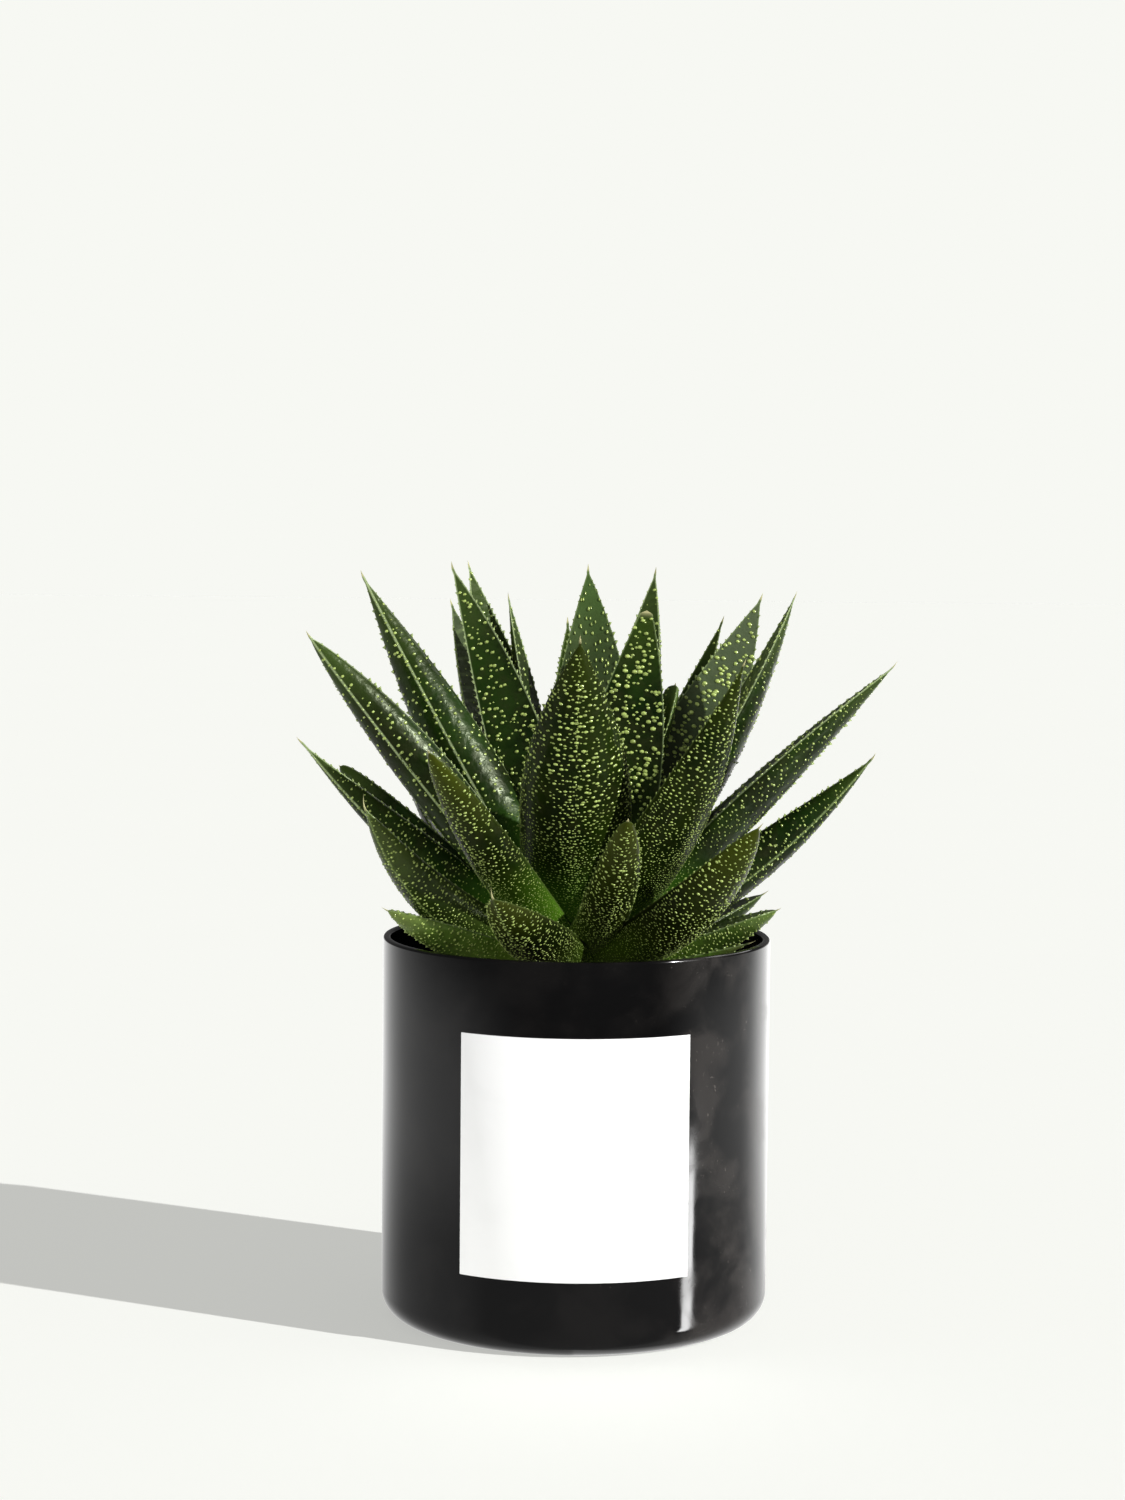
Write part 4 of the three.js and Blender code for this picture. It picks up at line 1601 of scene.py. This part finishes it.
@dataclass
class Rosette:
    """All the leaves, grown together so that none is warted inside another.

    The bristle takes the last share of the blank's height, and crowding draws the blank's stations
    towards the tip. The tones are the wart values at the foot and the top of a wart and a tooth.
    """

    growth: Growth = field(default_factory=Growth)
    strew: Strewing = field(default_factory=Strewing)
    columns: int = 32
    stations: int = 60
    bristle_share: float = 0.08
    bristle_thinning: float = 0.97
    crowding: float = 1.3
    dried_bristle: float = 0.3
    dried_break: tuple[float, float] = (0.99, 0.998)
    dryness: float = 0.4
    wart_tone: tuple[float, float] = (0.75, 1.0)
    tooth_tone: tuple[float, float] = (0.2, 0.6)
    off_ridge: float = 9.0
    seed: int = 20

    def blank(self) -> bpy.types.Object:
        """Models the straight round bar that every leaf is shaped from.

        Returns:
            A bar of unit radius from the ground up to one metre, with even columns and stations.
        """
        bar = start_piece(
            "leaf_blank",
            bpy.ops.mesh.primitive_cylinder_add,
            vertices=self.columns,
            radius=1,
            depth=1,
            end_fill_type="TRIFAN",
            location=(0, 0, 0.5),
        )
        place_in_mesh(bar)
        with Editing(bar) as edit:
            edit.select(Part.EDGE, lambda ends: abs(ends[0].z - ends[1].z) > 0.5)
            bpy.ops.mesh.subdivide(number_cuts=self.stations - 1)
        return bar

    @staticmethod
    def dome() -> Stamp:
        """Models a large wart: the cap of a ball, closed below.

        Returns:
            The wart's stamp.
        """
        ball = start_piece("dome", bpy.ops.mesh.primitive_uv_sphere_add, segments=6, ring_count=4, radius=1)
        with Editing(ball):
            bpy.ops.mesh.select_all(action="SELECT")
            bpy.ops.mesh.bisect(plane_co=(0, 0, 0.02), plane_no=(0, 0, 1), clear_inner=True, use_fill=True)
        return Stamp.take(ball)

    @staticmethod
    def cone(name: str, sides: int, depth: float, middle: float, lean: float = 0.0) -> Stamp:
        """Models a pointed shape of unit radius.

        Args:
            name: Its name.
            sides: How many sides it has.
            depth: Its height.
            middle: The height of its middle.
            lean: How far its point leans forward.

        Returns:
            Its stamp.
        """
        piece = start_piece(
            name,
            bpy.ops.mesh.primitive_cone_add,
            vertices=sides,
            radius1=1,
            radius2=0,
            depth=depth,
            location=(0, 0, middle),
        )
        place_in_mesh(piece)
        if lean:
            with Editing(piece) as edit:
                edit.select(Part.VERT, lambda corners: corners[0].z > middle)
                bpy.ops.transform.translate(value=(0, lean, 0))
        return Stamp.take(piece)

    def skin(self, form: LeafForm, bar: bpy.types.Object) -> Batch:
        """Shapes the bar into a leaf with its bristle.

        Args:
            form: The leaf's surface.
            bar: The blank.

        Returns:
            The leaf's smooth skin.
        """
        leaf, share = form.leaf, self.bristle_share
        places = np.array([tuple(v.co) for v in bar.data.vertices])
        angle = np.arctan2(places[:, 1], places[:, 0]) % (2 * np.pi)
        body = np.clip(places[:, 2] / (1 - share), 0, 1)
        hair = np.clip((places[:, 2] - 1 + share) / share, 0, 1)
        along = 1 - (1 - body) ** self.crowding
        radial = np.minimum(np.hypot(places[:, 0], places[:, 1]), 1)
        corners = form.surface(along, angle, radial * (1 - self.bristle_thinning * hair))
        corners += form.chord * (leaf.bristle * hair)[:, None]
        corners += form.rise * (leaf.curl * leaf.bristle * hair**self.growth.bristle_bend)[:, None]
        dry = ease(hair, 0, self.dried_bristle)
        if leaf.broken:
            dry = np.maximum(dry, ease(along, *self.dried_break) * self.dryness)
        batch = Batch()
        faces = [tuple(p.vertices) for p in bar.data.polygons]
        batch.add(corners, faces, along=along, ridge=form.ridge(along, angle), wart=0.0, dry=dry)
        return batch

    def wart_row(
        self, form: LeafForm, inner: bool, along: float, random: Random
    ) -> tuple[list[Wart], float]:
        """Lays one loose row of warts across a face.

        Args:
            form: The leaf's surface.
            inner: Whether the face is the inner one.
            along: The row's share of the leaf's length.
            random: The leaf's own random numbers.

        Returns:
            The warts, and the share of the length at which the next row lies.
        """
        strew, spread = self.strew, (form.leaf.inner if inner else form.leaf.outer).value
        grown = float(ease(np.array([along]), *spread.change)[0])
        pitch = between(spread.fleck_pitch, spread.dot_pitch, grown)
        row = between(spread.fleck_row, spread.dot_row, grown) / form.length
        girth = float(form.half_width(np.array([along]))[0])
        girth *= strew.inner_girth if inner else strew.outer_girth
        down = along * form.length
        band = 0.5 + 0.5 * math.cos(2 * math.pi * down / spread.bands) if spread.bands else 1.0
        kept = spread.kept * between(strew.bare_bands, 1.0, band)
        count = max(int(girth / pitch), 1)
        shift = random.uniform()
        found: list[Wart] = []
        for index in range(count):
            share = (index + shift + random.normal() * spread.loose) / count
            aside = share * girth
            wave = noise.noise(Vector((aside * strew.wave_across, down * strew.wave_along, form.length)))
            spot = along + (random.normal() * strew.scatter + wave * strew.wave) * row
            fine = strew.patch_fineness
            patch = noise.noise(Vector((aside * fine, down * fine, form.length)))
            in_reach = strew.bare_edge < share < 1 - strew.bare_edge
            if in_reach and random.uniform() <= kept + patch * strew.patches:
                fading = max(spot - strew.tip_from, 0) / (1 - strew.tip_from)
                size = between(spread.fleck, spread.dot, grown) * random.uniform(*strew.wart_sizes)
                size *= 1 - strew.tip_shrink * fading
                found.append((spot, self.place_round(form, share, inner), size, spread.stretch))
        return found, along + row

    def wart_spots(self, form: LeafForm, random: Random) -> Spots:
        """Lays the warts of both faces in rows from the root to the tip.

        Args:
            form: The leaf's surface.
            random: The leaf's own random numbers.

        Returns:
            The warts' spots.
        """
        strew = self.strew
        found: list[Wart] = []
        for inner in (False, True):
            along = strew.warts_from
            while along < strew.warts_end:
                row, along = self.wart_row(form, inner, along, random)
                found.extend(row)
        along, angle, size, stretch = np.array(found).reshape(-1, 4).T
        here, across, down, out = form.standing(np.clip(along, 0.01, strew.warts_end), angle)
        tone = random.uniform(*strew.wart_tones, len(size)).clip(0, 1)
        return Spots(here, across, down, out, size * stretch, size, size * strew.wart_rise, tone, along)

    def place_round(self, form: LeafForm, share: float, inner: bool) -> float:
        """Turns a share of a face's breadth into an angle round the leaf.

        Args:
            form: The leaf's surface.
            share: The share of the breadth.
            inner: Whether the face is the inner one.

        Returns:
            The angle.
        """
        if inner:
            return math.acos(max(-1.0, min(1.0, 1 - 2 * share)))
        flank = 2 * share if share < 0.5 else 2 * (1 - share)
        power = 1 / form.power
        swing = math.atan2(max(flank, 0.0) ** power, (1 - flank) ** power)
        return math.pi + swing if share < 0.5 else 2 * math.pi - swing

    def tooth_spots(self, form: LeafForm, random: Random) -> Spots:
        """Lays the teeth along both margins and the keel, each leaning towards the tip.

        Args:
            form: The leaf's surface.
            random: The leaf's own random numbers.

        Returns:
            The teeth's spots.
        """
        strew, keel_angle = self.strew, 1.5 * np.pi
        rows: list[tuple[float, float]] = []
        starts = ((0.0, strew.teeth_from), (np.pi, strew.teeth_from), (keel_angle, strew.keel_teeth_from))
        for angle, along in starts:
            while along < strew.teeth_end:
                rows.append((along, angle))
                along += strew.tooth_pitch * random.uniform(*strew.tooth_pitches) / form.length
        along, angle = np.array(rows).T
        _, across, up, heading = form.axes(along)
        out = np.where(np.isclose(angle, keel_angle)[:, None], -up, across * np.cos(angle)[:, None])
        here = form.surface(along, angle) - out * strew.tooth_root
        grown = ease(along, *strew.teeth_grow) * (1 - 0.5 * ease(along, *strew.teeth_fade))
        grown = grown * random.uniform(*strew.tooth_sizes, len(along))
        wide, long, tall = (size * (0.5 + 0.5 * grown) for size in strew.tooth)
        tone = np.ones(len(along))
        return Spots(here, np.cross(heading, out), heading, out, wide, long, tall * grown, tone, along)

    @staticmethod
    def gather(skins: list[Batch]) -> BVHTree:
        """Gathers the leaves' skins for rays to be cast at.

        Args:
            skins: The skins, which all have the blank's faces.

        Returns:
            The skins' tree.
        """
        corners = np.concatenate([skin.corners[0] for skin in skins])
        faces = [[i + n * skin.count for i in face] for n, skin in enumerate(skins) for face in skin.faces]
        return BVHTree.FromPolygons(corners.tolist(), faces)

    @staticmethod
    def make_piece(bar: bpy.types.Object, name: str, batch: Batch) -> bpy.types.Object:
        """Copies the blank with a mesh of its own and gives it a leaf's form.

        Args:
            bar: The blank.
            name: The leaf's name.
            batch: The leaf's form.

        Returns:
            The leaf's piece.
        """
        piece = bar.copy()
        piece.data = bar.data.copy()
        piece.name = piece.data.name = f"{name}_leaf"
        bpy.context.collection.objects.link(piece)
        batch.fill(piece.data)
        pick(piece)
        bpy.ops.object.shade_smooth()
        return piece

    def build(self) -> list[tuple[Leaf, bpy.types.Object]]:
        """Grows every leaf with its warts and teeth.

        Returns:
            The leaves and their finished pieces.
        """
        bar, dome = self.blank(), self.dome()
        fleck = self.cone("fleck", sides=5, depth=1.1, middle=0.45)
        thorn = self.cone("thorn", sides=4, depth=1.0, middle=0.5, lean=0.9)
        forms = [LeafForm(leaf, self.growth) for leaf in LEAVES]
        skins = [self.skin(form, bar) for form in forms]
        leaves = self.gather(skins)
        pieces = []
        for number, (form, batch) in enumerate(zip(forms, skins)):
            random = np.random.default_rng(self.seed + number)
            warts = self.wart_spots(form, random)
            large = warts.long > self.strew.domed_from
            for stamp, spots in ((dome, warts.keep(large)), (fleck, warts.keep(~large))):
                stamp.press(batch, spots.in_the_open(leaves), *self.wart_tone, ridge=self.off_ridge)
            teeth = self.tooth_spots(form, random).in_the_open(leaves)
            thorn.press(batch, teeth, *self.tooth_tone, ridge=0.0)
            pieces.append((form.leaf, self.make_piece(bar, form.leaf.name, batch)))
        bpy.data.meshes.remove(bar.data)
        return pieces

    def dress(self, pieces: list[tuple[Leaf, bpy.types.Object]], effects: Effects) -> None:
        """Gives each leaf its skin and puts it in its node's place."""
        for leaf, piece in pieces:
            fit(piece, leaf.tint.value, effects, f"leaf_{leaf.name}")


# ---------------------------------------------------------------------------------------------
# The studio
# ---------------------------------------------------------------------------------------------


def hang(light: bpy.types.Light, place: Vector, heading: Vector) -> bpy.types.Object:
    """Hangs a light.

    Args:
        light: The light.
        place: Where it hangs.
        heading: Where it shines.

    Returns:
        The lamp.
    """
    lamp = bpy.data.objects.new(light.name, light)
    lamp.location = place
    lamp.rotation_euler = heading.to_track_quat("-Z", "Y").to_euler()
    bpy.context.collection.objects.link(lamp)
    return lamp


@dataclass(frozen=True)
class Sun:
    """A far light, which comes from one heading and is as wide as its angle in degrees."""

    name: str
    heading: Place
    strength: float
    angle: float
    diffuse: bool = True
    mirrored: bool = True
    shadows: bool = True
    on_floor: bool = True

    def rise(self, floor: bpy.types.Object) -> None:
        """Hangs the light.

        Args:
            floor: The floor, which the light leaves out where on_floor is false.
        """
        light = bpy.data.lights.new(self.name, "SUN")
        light.energy = self.strength
        light.angle = math.radians(self.angle)
        light.use_shadow = self.shadows
        heading = Vector(self.heading)
        lamp = hang(light, -heading, heading)
        lamp.visible_diffuse, lamp.visible_glossy = self.diffuse, self.mirrored
        if not self.on_floor:
            spared = bpy.data.collections.new(f"{self.name}_spares")
            spared.objects.link(floor)
            lamp.light_linking.receiver_collection = spared
            spared.collection_objects[0].light_linking.link_state = "EXCLUDE"


@dataclass(frozen=True)
class Strip:
    """A tall thin lamp in metres, at a bearing in degrees, that is only seen mirrored in the pot."""

    bearing: float = 65.5
    distance: float = 0.27
    height: float = -0.055
    width: float = 0.03
    length: float = 0.13
    power: float = 0.27

    def glow(self) -> None:
        """Hangs the lamp."""
        light = bpy.data.lights.new("strip", "AREA")
        light.shape = "RECTANGLE"
        light.size, light.size_y = self.width, self.length
        light.energy = self.power
        turn = math.radians(self.bearing)
        out = Vector((math.sin(turn), -math.cos(turn), 0))
        lamp = hang(light, out * self.distance + Vector((0, 0, self.height)), -out)
        lamp.visible_diffuse = False


@dataclass(frozen=True)
class Fade:
    """A level that goes from start to end while a bearing or a height goes from low to high."""

    low: float
    high: float
    start: float
    end: float


@dataclass(frozen=True)
class Room:
    """A white room that is bright behind and at the sides and dark in front.

    The walls fade with their bearing from the front in degrees, and the others with the height of
    the heading, which is a share of its length.
    """

    left_wall: Fade = Fade(22.0, 78.0, 0.06, 0.85)
    right_wall: Fade = Fade(48.0, 84.0, 0.06, 0.85)
    back_wall: Fade = Fade(118.0, 160.0, 0.0, 0.6)
    right_corner: Fade = Fade(112.0, 142.0, 0.0, 0.95)
    low_walls: Fade = Fade(-0.26, -0.15, 0.5, 1.0)
    underside: Fade = Fade(-0.26, -0.16, 0.26, 0.0)
    above: Fade = Fade(-0.1, 0.05, 0.0, 1.0)
    overhead: float = 0.1
    tone: Colour = (1.0, 1.0, 0.99)
    paper: Colour = (0.930, 0.939, 0.896)

    @staticmethod
    def wall(nodes: Nodes, bearing: Socket, fade: Fade) -> Socket:
        """Lights a stretch of wall over its bearings."""
        return nodes.step(bearing, math.radians(fade.low), math.radians(fade.high), fade.start, fade.end)

    def level(self, nodes: Nodes) -> Socket:
        """Works out how bright the room is in each direction.

        Args:
            nodes: The world's nodes.

        Returns:
            The level.
        """
        heading = nodes.add("ShaderNodeSeparateXYZ")
        nodes.put(heading.inputs[0], nodes.add("ShaderNodeTexCoord").outputs["Generated"])
        x, y, z = heading.outputs
        bearing = nodes.math("ARCTAN2", x, nodes.math("MULTIPLY", y, -1.0))
        left = self.wall(nodes, nodes.math("MULTIPLY", bearing, -1.0), self.left_wall)
        right = self.wall(nodes, bearing, self.right_wall)
        back = self.wall(nodes, nodes.math("ABSOLUTE", bearing), self.back_wall)
        level = nodes.math("ADD", nodes.math("MAXIMUM", left, right), back)
        level = nodes.math("ADD", level, self.wall(nodes, bearing, self.right_corner))
        low_walls, underside, above = (
            nodes.step(z, *vars(fade).values()) for fade in (self.low_walls, self.underside, self.above)
        )
        level = nodes.math("MAXIMUM", nodes.math("MULTIPLY", level, low_walls), underside)
        overhead = nodes.add("ShaderNodeMix")
        for index, value in ((0, above), (2, level), (3, self.overhead)):
            nodes.put(overhead.inputs[index], value)
        return overhead.outputs[0]

    def build(self) -> None:
        """Lights the scene from the room, and shows the camera an even paper instead."""
        room = bpy.data.worlds.new("room")
        bpy.context.scene.world = room
        room.use_nodes = True
        nodes = Nodes(room.node_tree)
        light, seen = nodes.add("ShaderNodeBackground"), nodes.add("ShaderNodeBackground")
        nodes.fill(light, self.tone, self.level(nodes))
        nodes.fill(seen, self.paper)
        both = nodes.add("ShaderNodeMixShader")
        camera_ray = nodes.add("ShaderNodeLightPath").outputs["Is Camera Ray"]
        nodes.fill(both, camera_ray, light.outputs[0], seen.outputs[0])
        nodes.put(nodes.add("ShaderNodeOutputWorld").inputs["Surface"], both.outputs[0])


@dataclass
class Studio:
    """The pale floor, the room, the lights and the camera.

    Places are metres and the camera's turns are radians. Its lens and film are millimetres.
    """

    eye: Place = (0.0, -0.72, 0.1869)
    yaw: float = 0.0051
    pitch: float = 0.0761
    roll: float = 0.0089
    lens: float = 74.71
    film: float = 36.0
    floor_near: float = -0.2
    floor_far: float = 6.0
    suns: tuple[Sun, ...] = (
        Sun("key", (-0.89, 0.458, -0.466), 4.4, 0.5),
        Sun("fill", (0.72, 0.55, -0.42), 1.75, 50.0, mirrored=False, on_floor=False),
        Sun("sheen", (-0.45, -0.6, -0.66), 0.65, 32.0, diffuse=False),
        Sun("lift", (-0.1, 0.95, 0.2), 0.42, 30.0, mirrored=False, shadows=False),
    )

    def build(self, effects: Effects) -> None:
        """Sets the floor, room, lights and camera.

        Args:
            effects: The shared effects.
        """
        bpy.context.scene.view_settings.view_transform = "Standard"
        floor = self.lay_floor(effects)
        Room().build()
        for sun in self.suns:
            sun.rise(floor)
        Strip().glow()
        self.set_camera()

    def lay_floor(self, effects: Effects) -> bpy.types.Object:
        """Lays the floor, which runs from just in front of the pot to far behind it.

        Args:
            effects: The shared effects.

        Returns:
            The floor.
        """
        middle = (0, (self.floor_far + self.floor_near) / 2, 0)
        floor = start_piece("floor", bpy.ops.mesh.primitive_plane_add, size=1, location=middle)
        floor.scale = (2 * self.floor_far, self.floor_far - self.floor_near, 1)
        place_in_mesh(floor)
        floor.data.materials.append(FloorFinish().material(effects))
        floor.visible_glossy = False
        return floor

    def set_camera(self) -> None:
        """Sets the camera, which looks a little down on the pot."""
        data = bpy.data.cameras.new("camera")
        data.sensor_fit = "VERTICAL"
        data.sensor_height = self.film
        data.lens = self.lens
        camera = bpy.data.objects.new("camera", data)
        turn = Matrix.Rotation(self.yaw, 4, "Z") @ Matrix.Rotation(math.pi / 2 - self.pitch, 4, "X")
        camera.matrix_world = Matrix.Translation(self.eye) @ turn @ Matrix.Rotation(self.roll, 4, "Z")
        bpy.context.collection.objects.link(camera)
        bpy.context.scene.camera = camera


def main() -> None:
    """Builds the plant in its pot, and its studio."""
    logging.basicConfig(level=logging.INFO, format="%(name)s: %(message)s")
    effects = Effects()
    Studio().build(effects)
    pot = Pot.from_model()
    pot.dress(pot.build(), effects)
    label = Label(pot)
    label.dress(label.build(), effects)
    soil = Soil(pot)
    soil.dress(soil.build(), soil.scatter(), effects)
    Stem().dress(effects)
    rosette = Rosette()
    rosette.dress(rosette.build(), effects)


if __name__ == "__main__":
    main()
